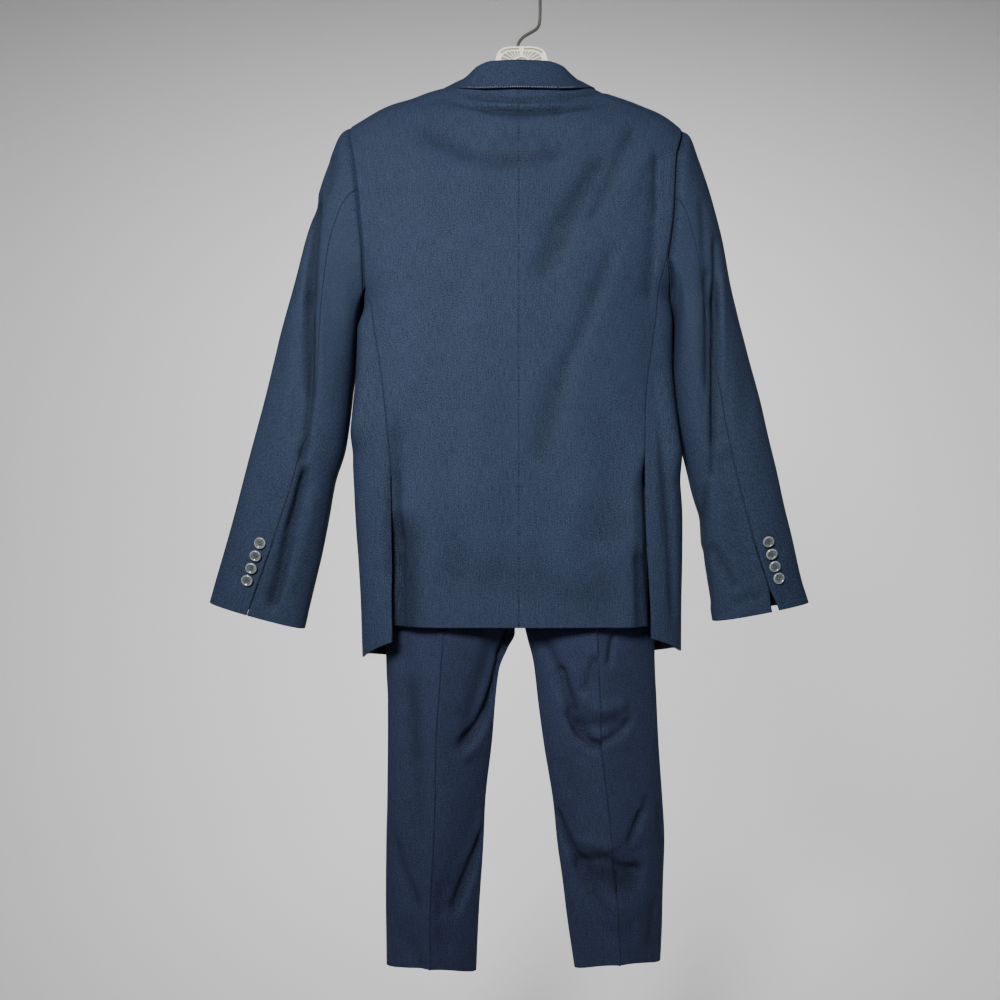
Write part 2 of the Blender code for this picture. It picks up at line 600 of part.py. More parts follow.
def head_angle(side, place):
    """Angle round the sleeve's head of a place on the armhole, negative before the shoulder."""
    wrapped = np.mod(place, 3.0)
    angle = height_angle(side, place)
    back_foot, front_foot = height_angle(side, np.array([1.0, 2.0]))
    under = mix(back_foot, 2 * math.pi - front_foot, wrapped - 1)
    angle = np.where(wrapped > 1, np.where(wrapped > 2, 2 * math.pi - angle, under), angle)
    return np.where(place < 0, angle - 2 * math.pi, angle)


def tube_form(side, along, angle):
    value = {name: along_table(SLEEVE[side], "along", name, along) for name in SleeveSection._fields[1:]}
    reach = signed_power(np.cos(angle), 2 / SLEEVE_SQUARE)
    x = (value["outer_x"] + value["inner_x"]) / 2 + (value["outer_x"] - value["inner_x"]) / 2 * reach
    z = (value["outer_z"] + value["inner_z"]) / 2 + (value["outer_z"] - value["inner_z"]) / 2 * reach
    y = -value["depth"] * signed_power(np.sin(angle), 2 / SLEEVE_SQUARE)
    return x, y, z


def hind_place(side):
    return 1 - ARM_STOPS[HIND_SEAM_STOP[side]]


def fore_place():
    return 2 + ARM_STOPS[FORE_SEAM_STOP]


def sleeve_form(side, piece, place, along):
    """The top or under sleeve: place round the armhole, along 0 head to 1 cuff."""
    turn = 2 * math.pi
    easing = ramp(along, 0.0, 0.10)
    hind_share = along_table(HIND_SEAM[side], "along", "share", along)
    opened = CUFF_SLIT_SHARE[side] * ramp(along, CUFF_SLIT_FROM, 1.0)
    hind_first = head_angle(side, np.array([hind_place(side)]))[0]
    fore_first = head_angle(side, np.array([fore_place()]))[0]
    fore_now = mix(fore_first, turn - share_angle(FORE_SEAM_SHARE), easing)
    first = head_angle(side, place)
    if piece == "top":
        hind_now = mix(hind_first, share_angle(hind_share - opened), easing)
        share = (first - fore_first + turn) / (hind_first - fore_first + turn)
        angle = mix(fore_now - turn, hind_now, share)
    else:
        hind_now = mix(hind_first, share_angle(hind_share + opened), easing)
        share = (first - hind_first) / (fore_first - hind_first)
        angle = mix(hind_now, fore_now, share)
    x, y, z = tube_form(side, along, angle)
    start_x, start_y, start_z = tube_form(side, np.zeros_like(along), first)
    arm_x, arm_y, arm_z = armhole_form(side, place)
    fade = (1 - np.clip(along / SLEEVE_HEAD_EASE, 0, 1)) ** 2
    x = SIDES[side] * (x - fade * start_x) + fade * arm_x
    y = y + fade * (arm_y - start_y)
    z = z + fade * (arm_z - start_z)
    pushed = fold_depth(SLEEVE_FOLDS[side], x, z) * ramp(-y, 0.008, 0.02)
    return x, y + pushed, z


# ---------------------------------------------------------------- the trousers' form

def leg_form(side, face, across, row):
    """Half a leg: across 0 outseam, 1 inseam or seat seam; row 0 hem, 1 waistband."""
    outer_hem, crease_hem, inner_hem = LEG_HEM[side]
    hem = mix(outer_hem, inner_hem, across) + (crease_hem - mix(outer_hem, inner_hem, 0.5)) * np.sin(
        np.pi * across
    )
    z = mix(hem, WAISTBAND_Z, row)
    table = LEG[side]
    outer = along_table(table, "z", "outer", z)
    crease = along_table(table, "z", "crease", z)
    inner = along_table(table, "z", "inner", z)
    depth = along_table(table, "z", "front" if face > 0 else "back", z)
    seat = np.clip(along_table(table, "z", "inner_depth", z), 0, depth)
    swing = 2 * across - 1
    x = np.where(swing < 0, mix(crease, outer, -swing), mix(crease, inner, swing))
    bulge = (1 - np.abs(swing) ** CREASE_POWER) ** (1 / EDGE_POWER)
    y = np.where(swing < 0, depth * bulge, seat + (depth - seat) * bulge)
    x = SIDES[side] * x
    if face < 0:
        y = y - fold_depth(LEG_FOLDS[side], x, z) * ramp(y, 0.005, 0.02)
    return x, face * y, z


def waist_form(side, across, row):
    """Waistband: across 0 centre back, 1 centre front, round the hip."""
    top = LEG[side][-1]
    angle = np.pi * across
    x = top.outer * signed_power(np.sin(angle), 2 / WAIST_SQUARE)
    y = -top.back * signed_power(np.cos(angle), 2 / WAIST_SQUARE)
    z = mix(WAISTBAND_Z, WAIST_TOP_Z, row)
    return SIDES[side] * x, y, z


# ---------------------------------------------------------------- the collar's form

CollarCorners = namedtuple(
    "CollarCorners",
    "along base_x base_y base_z roll_x roll_y roll_z fall_x fall_y fall_z right_shift",
)


def collar_rows():
    """Each section's three corners, as points."""
    rows = []
    for section in COLLAR:
        corners = {"along": section.along, "right_shift": section.right_shift}
        for name in ("base", "roll", "fall"):
            x = getattr(section, name + "_x")
            z = getattr(section, name + "_z")
            lift = getattr(section, name + "_lift")
            if name != "roll":
                depth = body_depth("left", section.face, np.array([x]), np.array([z]))[0]
            corners[name + "_x"] = x
            corners[name + "_y"] = section.face * (depth + lift)
            corners[name + "_z"] = z
        rows.append(CollarCorners(**corners))
    return rows


def collar_form(along, height):
    """Collar: along -1 left front end, 0 centre back, 1 right; height 0 neck seam to 1 outer edge."""
    rows = collar_rows()
    place = np.abs(along)
    corner = {
        name: np.stack(
            [along_table(rows, "along", name + axis, place) for axis in ("_x", "_y", "_z")], axis=-1
        )
        for name in ("base", "roll", "fall")
    }
    chord = corner["fall"] - corner["base"]
    middle = (corner["fall"] + corner["base"]) / 2
    rise = corner["roll"] - middle
    rise = rise / np.linalg.norm(rise, axis=-1, keepdims=True)
    outward = chord - (chord * rise).sum(-1, keepdims=True) * rise
    outward = outward / np.linalg.norm(outward, axis=-1, keepdims=True)
    centre = corner["roll"] - COLLAR_FOLD_RADIUS * rise
    turn = np.pi * np.clip((height - 0.35) / 0.20, 0, 1)[..., None]
    arc = centre + COLLAR_FOLD_RADIUS * (np.sin(turn) * rise - np.cos(turn) * outward)
    stand_share = np.clip(height / 0.35, 0, 1)[..., None]
    stand = mix(corner["base"], centre - COLLAR_FOLD_RADIUS * outward, stand_share)
    fall_share = np.clip((height - 0.55) / 0.45, 0, 1)[..., None]
    fall = mix(centre + COLLAR_FOLD_RADIUS * outward, corner["fall"], fall_share)
    point = np.where(height[..., None] < 0.35, stand, np.where(height[..., None] > 0.55, fall, arc))
    shift = along_table(rows, "along", "right_shift", place) * np.clip(height / 0.35, 0, 1)
    side = np.where(along < 0, -1.0, 1.0)
    return side * point[..., 0] + np.where(along < 0, 0.0, shift), point[..., 1], point[..., 2]


# ---------------------------------------------------------------- pieces that lie on the fronts

def lapel_form(side, across, row):
    """Lapel: across 0 roll line, 1 outer edge; row 0 its low end, 1 the gorge."""
    inner_z = mix(LAPEL_LOW_Z[side], LAPEL_GORGE_Z, row)
    outer_z = mix(LAPEL_LOW_Z[side], LAPEL_NOTCH_Z, row)
    inner_x = along_table(FRONT_FREE_EDGE, "z", "x", inner_z)
    outer_x = inner_x + np.maximum(along_table(LAPEL_OUTER, "z", "x", outer_z) - inner_x, LAPEL_END)
    x = mix(inner_x, outer_x, across)
    z = mix(inner_z, outer_z, across)
    lift = LAY_GAP + JACKET_WALL + LAPEL_ROLL_LIFT * (1 - across) ** 3
    return SIDES[side] * x, front_y(side, x, z) + lift, z


def patch_form(side, in_x, out_x, top_z, height, slant, lift, across, row):
    """A pocket's flap or welt: across 0 its inner end, row 0 its lower edge."""
    x = mix(in_x, out_x, across)
    z = top_z - height * (1 - row) + slant * across
    return SIDES[side] * x, front_y(side, x, z) + lift + JACKET_WALL, z


# ---------------------------------------------------------------- walls on a form

def material(name):
    red, green, blue, roughness, metallic = COLOURS[name]
    found = bpy.data.materials.get(name) or bpy.data.materials.new(name)
    found.use_nodes = True
    shader = found.node_tree.nodes["Principled BSDF"]
    shader.inputs["Base Color"].default_value = (red, green, blue, 1.0)
    shader.inputs["Roughness"].default_value = roughness
    shader.inputs["Metallic"].default_value = metallic
    return found


def add_object(name, mesh, finish):
    mesh.materials.append(material(finish))
    made = bpy.data.objects.new(name, mesh)
    bpy.context.scene.collection.objects.link(made)
    return made


def unit(vectors):
    return vectors / np.maximum(np.linalg.norm(vectors, axis=-1, keepdims=True), 1e-12)


def difference(form, across, row, across_step, row_step, limits):
    """The form's direction of change at each place, from two places close by."""
    low_across, high_across, low_row, high_row = limits
    ahead = form(
        np.clip(across + across_step, low_across, high_across), np.clip(row + row_step, low_row, high_row)
    )
    behind = form(
        np.clip(across - across_step, low_across, high_across), np.clip(row - row_step, low_row, high_row)
    )
    return unit(np.stack(ahead, axis=-1) - np.stack(behind, axis=-1))


def add_panel(name, form, columns, rows, wall, outward, finish, face=0):
    """A cloth wall: its outer face on the form, its inner face moved in along the form's normal.

    A panel with a face stays on its own side, before (1) or behind (-1), of the middle plane.
    """
    across, row = np.meshgrid(columns, rows, indexing="ij")
    limits = (columns[0], columns[-1], rows[0], rows[-1])
    outer = np.stack(form(across, row), axis=-1)
    across_way = difference(form, across, row, STEP, 0, limits)
    row_way = difference(form, across, row, 0, STEP, limits)
    normal = outward * unit(np.cross(across_way, row_way))
    outer[0] += across_way[0] * SEAM_GAP / 2
    outer[-1] -= across_way[-1] * SEAM_GAP / 2
    outer[:, 0] += row_way[:, 0] * SEAM_GAP / 2
    outer[:, -1] -= row_way[:, -1] * SEAM_GAP / 2
    inner = outer - wall * normal
    if face:
        for layer in (outer, inner):
            layer[..., 1] = face * np.maximum(face * layer[..., 1], SEAM_GAP / 2)
    return add_object(name, wall_mesh(name, outer, inner), finish)


def wall_mesh(name, outer, inner):
    """A flat grid extruded to two layers, then each layer's points put in place."""
    column_count, row_count = outer.shape[:2]
    bm = bmesh.new()
    bmesh.ops.create_grid(bm, x_segments=column_count - 1, y_segments=row_count - 1, size=0.5)
    first = list(bm.verts)
    made = bmesh.ops.extrude_face_region(bm, geom=bm.faces[:])
    second = [item for item in made["geom"] if isinstance(item, bmesh.types.BMVert)]
    for layer, verts in ((outer, first), (inner, second)):
        for vert in verts:
            column = round((vert.co.x + 0.5) * (column_count - 1))
            row = round((vert.co.y + 0.5) * (row_count - 1))
            vert.co = layer[column, row]
    bmesh.ops.triangulate(bm, faces=bm.faces[:])
    bmesh.ops.recalc_face_normals(bm, faces=bm.faces[:])
    if bm.calc_volume(signed=True) < 0:
        bmesh.ops.reverse_faces(bm, faces=bm.faces[:])
    return finished_mesh(name, bm)


def finished_mesh(name, bm):
    mesh = bpy.data.meshes.new(name)
    bm.to_mesh(mesh)
    bm.free()
    mesh.shade_smooth()
    mesh.set_sharp_from_angle(angle=math.radians(40))
    return mesh


# ---------------------------------------------------------------- the jacket's pieces

def back_columns(side):
    tip_x = along_table(BACK_EDGE, "z", side, np.array([BACK_LEVELS[side].top]))[0]
    neck = NECK_X / tip_x
    shoulder = np.linspace(neck, 1, SHOULDER_COLUMNS + 1)
    return np.concatenate([np.linspace(0, neck, NECK_COLUMNS + 1), shoulder[1:]])


def make_body(side):
    sign = SIDES[side]
    rows = np.concatenate([LOW_ROWS, 1 + ARM_STOPS[1:]])
    add_panel(
        "jacket_back_" + side, lambda a, r: back_form(side, a, r), back_columns(side), rows,
        JACKET_WALL, sign, "jacket",
    )
    add_panel(
        "jacket_front_" + side, lambda a, r: front_form(side, a, r),
        np.linspace(0, 1, SHOULDER_COLUMNS + 1), rows, JACKET_WALL, -sign, "jacket",
    )
    add_panel(
        "jacket_side_" + side, lambda a, r: side_form(side, a, r),
        np.linspace(0, 1, SIDE_COLUMNS + 1), LOW_ROWS, JACKET_WALL, sign, "jacket",
    )
    add_panel(
        "lapel_" + side, lambda a, r: lapel_form(side, a, r), np.linspace(0, 1, 5),
        np.linspace(0, 1, 11), JACKET_WALL, -sign, "jacket",
    )
    add_panel(
        "pocket_flap_" + side,
        lambda a, r: patch_form(
            side, FLAP_IN_X, FLAP_OUT_X, FLAP_TOP_Z, FLAP_HEIGHT, 0.0, FLAP_LIFT, a, r
        ),
        np.linspace(0, 1, 11), np.linspace(0, 1, 4), JACKET_WALL, -sign, "jacket",
    )


def make_breast_welt():
    add_panel(
        "breast_welt",
        lambda a, r: patch_form(
            "left", WELT_IN_X, WELT_OUT_X, WELT_TOP_Z, WELT_HEIGHT, WELT_SLANT, FLAP_LIFT, a, r
        ),
        np.linspace(0, 1, 5), np.linspace(0, 1, 3), JACKET_WALL, 1.0, "jacket",
    )


def make_sleeve(side):
    down_back = 1 - ARM_STOPS[::-1]
    hind = len(ARM_STOPS) - 1 - HIND_SEAM_STOP[side]
    over = np.concatenate([ARM_STOPS[FORE_SEAM_STOP:] - 1, down_back[1 : hind + 1]])
    below = 1 + np.linspace(0, 1, SIDE_COLUMNS + 1)
    under = np.concatenate([down_back[hind:], below[1:], 2 + ARM_STOPS[1 : FORE_SEAM_STOP + 1]])
    for piece, columns in (("top", over), ("under", under)):
        add_panel(
            piece + "sleeve_" + side,
            lambda a, r, piece=piece: sleeve_form(side, piece, a, r),
            columns, SLEEVE_ROWS, JACKET_WALL, SIDES[side], "jacket",
        )


def make_collar():
    add_panel(
        "collar", collar_form, np.linspace(-1, 1, 27), COLLAR_ROWS, COLLAR_WALL, -1.0, "jacket"
    )


# ---------------------------------------------------------------- buttons

def button_mesh(name, diameter, place, outward):
    """A disc with a raised rim, its back at the place, facing outward."""
    bm = bmesh.new()
    bmesh.ops.create_cone(
        bm, cap_ends=True, segments=BUTTON_SIDES, radius1=diameter / 2, radius2=diameter / 2,
        depth=BUTTON_THICKNESS,
    )
    bmesh.ops.translate(bm, verts=bm.verts[:], vec=(0, 0, BUTTON_THICKNESS / 2))
    top = max(bm.faces, key=lambda face: face.calc_center_median().z)
    bmesh.ops.inset_individual(bm, faces=[top], thickness=BUTTON_RIM, use_even_offset=True)
    bmesh.ops.translate(bm, verts=list(top.verts), vec=(0, 0, -BUTTON_DISH))
    turn = Vector((0, 0, 1)).rotation_difference(Vector(outward)).to_matrix().to_4x4()
    bm.transform(Matrix.Translation(Vector(place)) @ turn)
    return finished_mesh(name, bm)


def sleeve_place(side, along, share):
    """A place on the back of the sleeve and the way it faces."""
    def form(a, s):
        x, y, z = tube_form(side, a, share_angle(s))
        return SIDES[side] * x, y, z

    at = (np.array([along]), np.array([share]))
    limits = (0.0, 1.0, 0.0, 1.0)
    point = np.stack(form(*at), axis=-1)[0]
    along_way = difference(form, *at, STEP, 0, limits)[0]
    share_way = difference(form, *at, 0, STEP, limits)[0]
    normal = np.cross(along_way, share_way)
    return point, normal * -np.sign(normal[1])


def make_buttons():
    for side in SIDES:
        for number, spot in enumerate(CUFF_BUTTONS[side], 1):
            point, normal = sleeve_place(side, spot.along, spot.share)
            name = f"cuff_button_{side}_{number}"
            mesh = button_mesh(name, CUFF_BUTTON_DIAMETER, point + normal * SEAM_GAP, normal)
            add_object(name, mesh, "horn")
    for number, z in enumerate(FRONT_BUTTON_ZS, 1):
        y = front_y("left", np.array([0.0]), np.array([z]))[0] + SEAM_GAP
        name = f"front_button_{number}"
        add_object(name, button_mesh(name, FRONT_BUTTON_DIAMETER, (0.0, y, z), (0, 1, 0)), "horn")
    waist_y = LEG["left"][-1].back + SEAM_GAP
    place = (WAIST_BUTTON_X, waist_y, (WAIST_TOP_Z + WAISTBAND_Z) / 2)
    mesh = button_mesh("waistband_button", CUFF_BUTTON_DIAMETER, place, (0, 1, 0))
    add_object("waistband_button", mesh, "horn")


# ---------------------------------------------------------------- the trousers' pieces

def make_trousers(side):
    for half, face in (("back", -1), ("front", 1)):
        add_panel(
            f"trouser_{half}_{side}",
            lambda a, r, face=face: leg_form(side, face, a, r),
            LEG_COLUMNS, LEG_ROWS, TROUSER_WALL, face * SIDES[side], "trousers", face,
        )
    add_panel(
        "waistband_" + side, lambda a, r: waist_form(side, a, r), WAIST_COLUMNS,
        np.linspace(0, 1, 3), TROUSER_WALL, SIDES[side], "trousers",
    )


# ---------------------------------------------------------------- the hanger

def rounded_path(corners):
    """A closed path through the corners (x, z, radius), with an arc in place of each round one."""
    path = []
    count = len(corners)
    for index, (x, z, radius) in enumerate(corners):
        here = Vector((x, z))
        if radius == 0:
            path.append(here)
            continue
        before = (Vector(corners[index - 1][:2]) - here).normalized()
        after = (Vector(corners[(index + 1) % count][:2]) - here).normalized()
        for step in range(CORNER_STEPS + 1):
            t = step / CORNER_STEPS
            start = here + before * radius
            end = here + after * radius
            path.append(start * (1 - t) ** 2 + here * 2 * t * (1 - t) + end * t * t)
    return path


def arm_height(side, x):
    """Middle of the frame's arm, under that shoulder of the jacket."""
    drop = JACKET_WALL + FRAME_CLEARANCE + FRAME_RADIUS
    place = np.array([max(x, NECK_X), max(x, NECK_X) + STEP])
    here, beyond = shoulder_z(side, place)
    height = here - drop * math.hypot(1, (beyond - here) / STEP)
    return height if x > NECK_X else mix(ARM_TOP_Z, height, (x / NECK_X) ** 2)


def frame_side(side):
    """Half of the frame's path, from the middle of its top to the middle of its bar."""
    places = np.linspace(0, FRAME_HALF_WIDTH, ARM_POINTS)[1:]
    half = [(x, arm_height(side, x), 0) for x in places] + [FRAME_CORNER, BAR_CORNER]
    return [(SIDES[side] * x, z, radius) for x, z, radius in half]


def frame_mesh():
    path = rounded_path([(0.0, ARM_TOP_Z, 0)] + frame_side("right") + frame_side("left")[::-1])
    return tube_mesh("hanger_frame", [(place.x, place.y) for place in path], FRAME_RADIUS, 2, True)


def tube_mesh(name, path, radius, roundness, closed):
    """A round bar along a path of (x, z) in the middle plane."""
    curve = bpy.data.curves.new(name, "CURVE")
    curve.dimensions = "3D"
    curve.bevel_depth = radius
    curve.bevel_resolution = roundness
    curve.use_fill_caps = not closed
    spline = curve.splines.new("POLY")
    spline.points.add(len(path) - 1)
    for point, (x, z) in zip(spline.points, path):
        point.co = (x, 0.0, z, 1.0)
    spline.use_cyclic_u = closed
    guide = bpy.data.objects.new(name, curve)
    mesh = bpy.data.meshes.new_from_object(guide)
    bpy.data.objects.remove(guide)
    bpy.data.curves.remove(curve)
    bm = bmesh.new()
    bm.from_mesh(mesh)
    bpy.data.meshes.remove(mesh)
    bmesh.ops.remove_doubles(bm, verts=bm.verts[:], dist=STEP / 10)
    bmesh.ops.recalc_face_normals(bm, faces=bm.faces[:])
    return finished_mesh(name, bm)


def add_plate(bm, outline, low_y, high_y):
    """A closed plate with this outline of (x, z), from one depth to another."""
    face = bm.faces.new([bm.verts.new((x, low_y, z)) for x, z in outline])
    made = bmesh.ops.extrude_face_region(bm, geom=[face])
    moved = [item for item in made["geom"] if isinstance(item, bmesh.types.BMVert)]
    bmesh.ops.translate(bm, verts=moved, vec=(0, high_y - low_y, 0))


def hidden_tool(name, bm):
    bmesh.ops.recalc_face_normals(bm, faces=bm.faces[:])
    tool = bpy.data.objects.new(name, finished_mesh(name, bm))
    bpy.context.scene.collection.objects.link(tool)
    tool.hide_render = True
    tool.display_type = "WIRE"
    return tool


def crest_point(angle, inset, centre_z=CREST_FOOT_Z):
    """Where a ray from a point of the crest's middle line meets its arch, or an inset of it."""
    half_width = CREST_HALF_WIDTH - inset
    height = CREST_TOP_Z - CREST_FOOT_Z - inset
    near = 0.0
    far = 2 * CREST_HALF_WIDTH
    for _ in range(RAY_STEPS):
        reach = (near + far) / 2
        share_x = abs(reach * math.cos(angle)) / half_width
        share_z = abs(centre_z - CREST_FOOT_Z + reach * math.sin(angle)) / height
        inside = share_x**CREST_POWER + share_z**CREST_POWER < 1
        near, far = (reach, far) if inside else (near, reach)
    return HANGER_X + near * math.cos(angle), centre_z + near * math.sin(angle)


def fan_window(angle, next_angle):
    """Outline of the gap between two ribs, from the hub of the fan to the rim of the crest."""
    hub = [
        (HANGER_X + FAN_RADIUS * math.cos(a), FAN_Z + FAN_RADIUS * math.sin(a))
        for a in (next_angle, angle)
    ]
    middle = (angle + next_angle) / 2
    rim = [crest_point(a, CREST_INNER_RIM, FAN_Z) for a in (angle, middle, next_angle)]
    corners = np.array(hub + rim)
    across = np.array([-math.sin(middle), math.cos(middle)])
    for corner, way in zip(corners, (-1, 1, 1, 0, -1)):
        corner += across * way * RIB_WIDTH / 2
    return [tuple(corner) for corner in corners]


def fan_hole():
    """Outline of the round hole in the hub of the fan."""
    turns = np.linspace(0, 2 * math.pi, FAN_HOLE_SIDES, endpoint=False)
    return [
        (HANGER_X + FAN_HOLE_RADIUS * math.cos(a), FAN_Z + FAN_HOLE_RADIUS * math.sin(a)) for a in turns
    ]


def crest_slot(sign):
    """Outline of the thin slot under the rim, on one side of the post."""
    gap = CREST_POST / 2 / (CREST_TOP_Z - CREST_FOOT_Z)
    angles = math.pi / 2 + sign * np.linspace(gap, SLOT_TURN, SLOT_STEPS)
    upper = [crest_point(a, CREST_RIM) for a in angles]
    lower = [crest_point(a, CREST_RIM + CREST_SLOT) for a in reversed(angles)]
    return upper + lower


def make_hanger():
    arch = [crest_point(angle, 0.0) for angle in np.linspace(0, math.pi, 25)]
    foot_z = CREST_FOOT_Z - FRAME_RADIUS
    outline = [(arch[0][0], foot_z)] + arch + [(arch[-1][0], foot_z)]
    crest_bm = bmesh.new()
    add_plate(crest_bm, outline, -CREST_THICKNESS / 2, CREST_THICKNESS / 2)
    crest = hidden_tool("crest_tool", crest_bm)

    window_bm = bmesh.new()
    turns = np.radians(np.linspace(FAN_FIRST_DEGREES, FAN_LAST_DEGREES, FAN_WINDOWS + 1))
    for angle, next_angle in zip(turns[:-1], turns[1:]):
        for outline in (
            fan_window(angle, next_angle), fan_window(math.pi - next_angle, math.pi - angle)
        ):
            add_plate(window_bm, outline, -CREST_THICKNESS, CREST_THICKNESS)
    for sign in SIDES.values():
        add_plate(window_bm, crest_slot(sign), -CREST_THICKNESS, CREST_THICKNESS)
    add_plate(window_bm, fan_hole(), -CREST_THICKNESS, CREST_THICKNESS)
    windows = hidden_tool("window_tool", window_bm)

    hanger = add_object("hanger_frame", frame_mesh(), "plastic")
    for name, operation, tool in (("crest", "UNION", crest), ("windows", "DIFFERENCE", windows)):
        step = hanger.modifiers.new(name, "BOOLEAN")
        step.operation = operation
        step.solver = "EXACT"
        step.object = tool


def make_hook():
    centre_z = WIRE_RADIUS - HOOK_RADIUS
    sweep = np.radians(np.linspace(0, HOOK_SWEEP_DEGREES, 18))
    bow = [
        (HOOK_RADIUS * math.cos(angle), centre_z + HOOK_RADIUS * math.sin(angle)) for angle in sweep
    ]
    path = [tuple(point) for point in HOOK_STEM] + bow
    add_object("hanger_hook", tube_mesh("hanger_hook", path, WIRE_RADIUS, 2, False), "steel")


def make_clip(side):
    """A spring clip over the bar, seen from its end: the outside up one side, then the inside."""
    bar_z = BAR_CORNER[1]
    inner = FRAME_RADIUS + CLIP_BAR_GAP
    outer = inner + CLIP_WALL
    grip = CLIP_HALF_GRIP
    outside = [
        (grip + CLIP_WALL, CLIP_FOOT_Z), (grip + CLIP_WALL, CLIP_NECK_Z), (outer, bar_z - inner),
        (outer, bar_z), (outer * 0.71, bar_z + outer * 0.71),
    ]
    inside = [
        (grip, CLIP_FOOT_Z), (grip, CLIP_NECK_Z - 0.001), (inner, bar_z - inner - 0.001),
        (inner, bar_z), (inner * 0.76, bar_z + inner * 0.76),
    ]
    profile = outside + [(0.0, bar_z + outer)] + [(-y, z) for y, z in reversed(outside)]
    profile += [(-y, z) for y, z in inside] + [(0.0, bar_z + inner * 1.06)] + inside[::-1]
    bm = bmesh.new()
    low_x = CLIP_XS[side] - CLIP_WIDTH / 2
    face = bm.faces.new([bm.verts.new((low_x, y, z)) for y, z in profile])
    made = bmesh.ops.extrude_face_region(bm, geom=[face])
    moved = [item for item in made["geom"] if isinstance(item, bmesh.types.BMVert)]
    bmesh.ops.translate(bm, verts=moved, vec=(CLIP_WIDTH, 0, 0))
    bmesh.ops.recalc_face_normals(bm, faces=bm.faces[:])
    add_object("clip_" + side, finished_mesh("clip_" + side, bm), "plastic")


# ---------------------------------------------------------------- the whole suit

def main():
    for found in list(bpy.data.objects):
        bpy.data.objects.remove(found, do_unlink=True)
    for side in SIDES:
        make_body(side)
        make_sleeve(side)
        make_trousers(side)
        make_clip(side)
    make_breast_welt()
    make_collar()
    make_buttons()
    make_hanger()
    make_hook()


main()
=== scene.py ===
"""A man's two-piece suit on a plastic hanger, with its cloth, seams, buttons and folds.

Run as a script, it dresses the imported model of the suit, which is loaded as a fixed frame.
Metres, +Z up. The wearer would face +Y, so the back of the suit faces -Y, and the wearer's right
is +X. The cloth panels lie on the same forms as the solids, with folds and creases of their own.
"""

import math
from collections import namedtuple
from functools import partial

import bmesh
import bpy
import numpy as np
from bpy.props import FloatProperty, FloatVectorProperty, PointerProperty
from mathutils import Matrix, Vector


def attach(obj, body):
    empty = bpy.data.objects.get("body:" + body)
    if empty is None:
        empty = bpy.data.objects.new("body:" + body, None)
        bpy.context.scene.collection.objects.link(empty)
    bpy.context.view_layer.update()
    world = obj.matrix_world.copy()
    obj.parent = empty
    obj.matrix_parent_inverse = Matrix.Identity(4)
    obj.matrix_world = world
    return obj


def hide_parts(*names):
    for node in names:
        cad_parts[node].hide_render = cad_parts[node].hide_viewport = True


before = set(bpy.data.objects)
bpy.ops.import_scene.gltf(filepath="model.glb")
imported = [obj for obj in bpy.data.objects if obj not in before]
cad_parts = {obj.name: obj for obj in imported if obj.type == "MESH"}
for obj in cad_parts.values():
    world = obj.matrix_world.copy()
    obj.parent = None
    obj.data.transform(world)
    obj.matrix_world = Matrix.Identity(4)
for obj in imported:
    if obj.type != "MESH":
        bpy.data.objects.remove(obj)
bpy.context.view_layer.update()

bl_info = {
    "name": "Two-piece suit on a hanger",
    "version": (1, 0, 0),
    "blender": (4, 5, 0),
    "location": "View3D > Sidebar > Suit",
    "description": "Builds a tailored jacket and trousers hung on a plastic hanger",
    "category": "Add Mesh",
}

BODY_NAME = "root"


# ---------------------------------------------------------------- sizes shared with the solids

def rows_of(kind, *rows):
    """A table of rows of one kind."""
    return tuple(kind(*row) for row in rows)


# Cloth
JACKET_WALL = 0.0018
TROUSER_WALL = 0.0014
COLLAR_WALL = 0.0016
SEAM_GAP = 0.0004
LAY_GAP = 0.001

# Jacket heights
BACK_HEM_Z = -0.845
VENT_TOP_Z = -0.66
UNDERARM_Z = -0.43
NECK_Z = -0.152
NECK_X = 0.08
NECK_POWER = 2.6
SHOULDER_ROLL = 0.07
SHOULDER_POWER = 2.2

# Vents and lapped fronts
VENT_UNDERLAP = 0.008
VENT_TUCK = 0.0042
VENT_SPREAD = {"left": 0.0, "right": 0.0065}
FRONT_LAP = 0.018
FRONT_INSET = 0.0036
LAP_START_X = 0.022
LAP_END_X = 0.08

BodySection = namedtuple("BodySection", "z left right back front square_left square_right")
BODY = rows_of(
    BodySection, (-0.91, 0.2015, 0.2112, 0.062, 0.064, 4.5, 4.5),
    (-0.843, 0.2042, 0.2115, 0.062, 0.064, 4.5, 4.5),
    (-0.764, 0.2078, 0.213, 0.061, 0.063, 4.5, 4.5),
    (-0.711, 0.212, 0.2135, 0.06, 0.062, 4.5, 4.2),
    (-0.672, 0.2145, 0.2118, 0.059, 0.062, 4.2, 4.0),
    (-0.639, 0.216, 0.2085, 0.058, 0.062, 4.0, 3.6), (-0.6, 0.216, 0.203, 0.058, 0.062, 4.0, 3.2),
    (-0.566, 0.213, 0.198, 0.058, 0.062, 3.8, 2.8), (-0.527, 0.207, 0.1945, 0.059, 0.063, 3.6, 2.5),
    (-0.47, 0.2035, 0.1955, 0.06, 0.064, 3.5, 2.4), (-0.43, 0.2015, 0.1985, 0.06, 0.065, 3.5, 2.4),
    (-0.4, 0.212, 0.212, 0.06, 0.065, 3.5, 2.6), (-0.35, 0.235, 0.235, 0.059, 0.064, 3.5, 3.0),
    (-0.3, 0.245, 0.245, 0.057, 0.062, 3.5, 3.3), (-0.24, 0.25, 0.25, 0.053, 0.058, 3.5, 3.5),
    (-0.19, 0.25, 0.25, 0.047, 0.051, 3.5, 3.5), (-0.15, 0.25, 0.25, 0.0405, 0.044, 3.5, 3.5),
    (-0.115, 0.25, 0.25, 0.0365, 0.04, 3.5, 3.5),
)

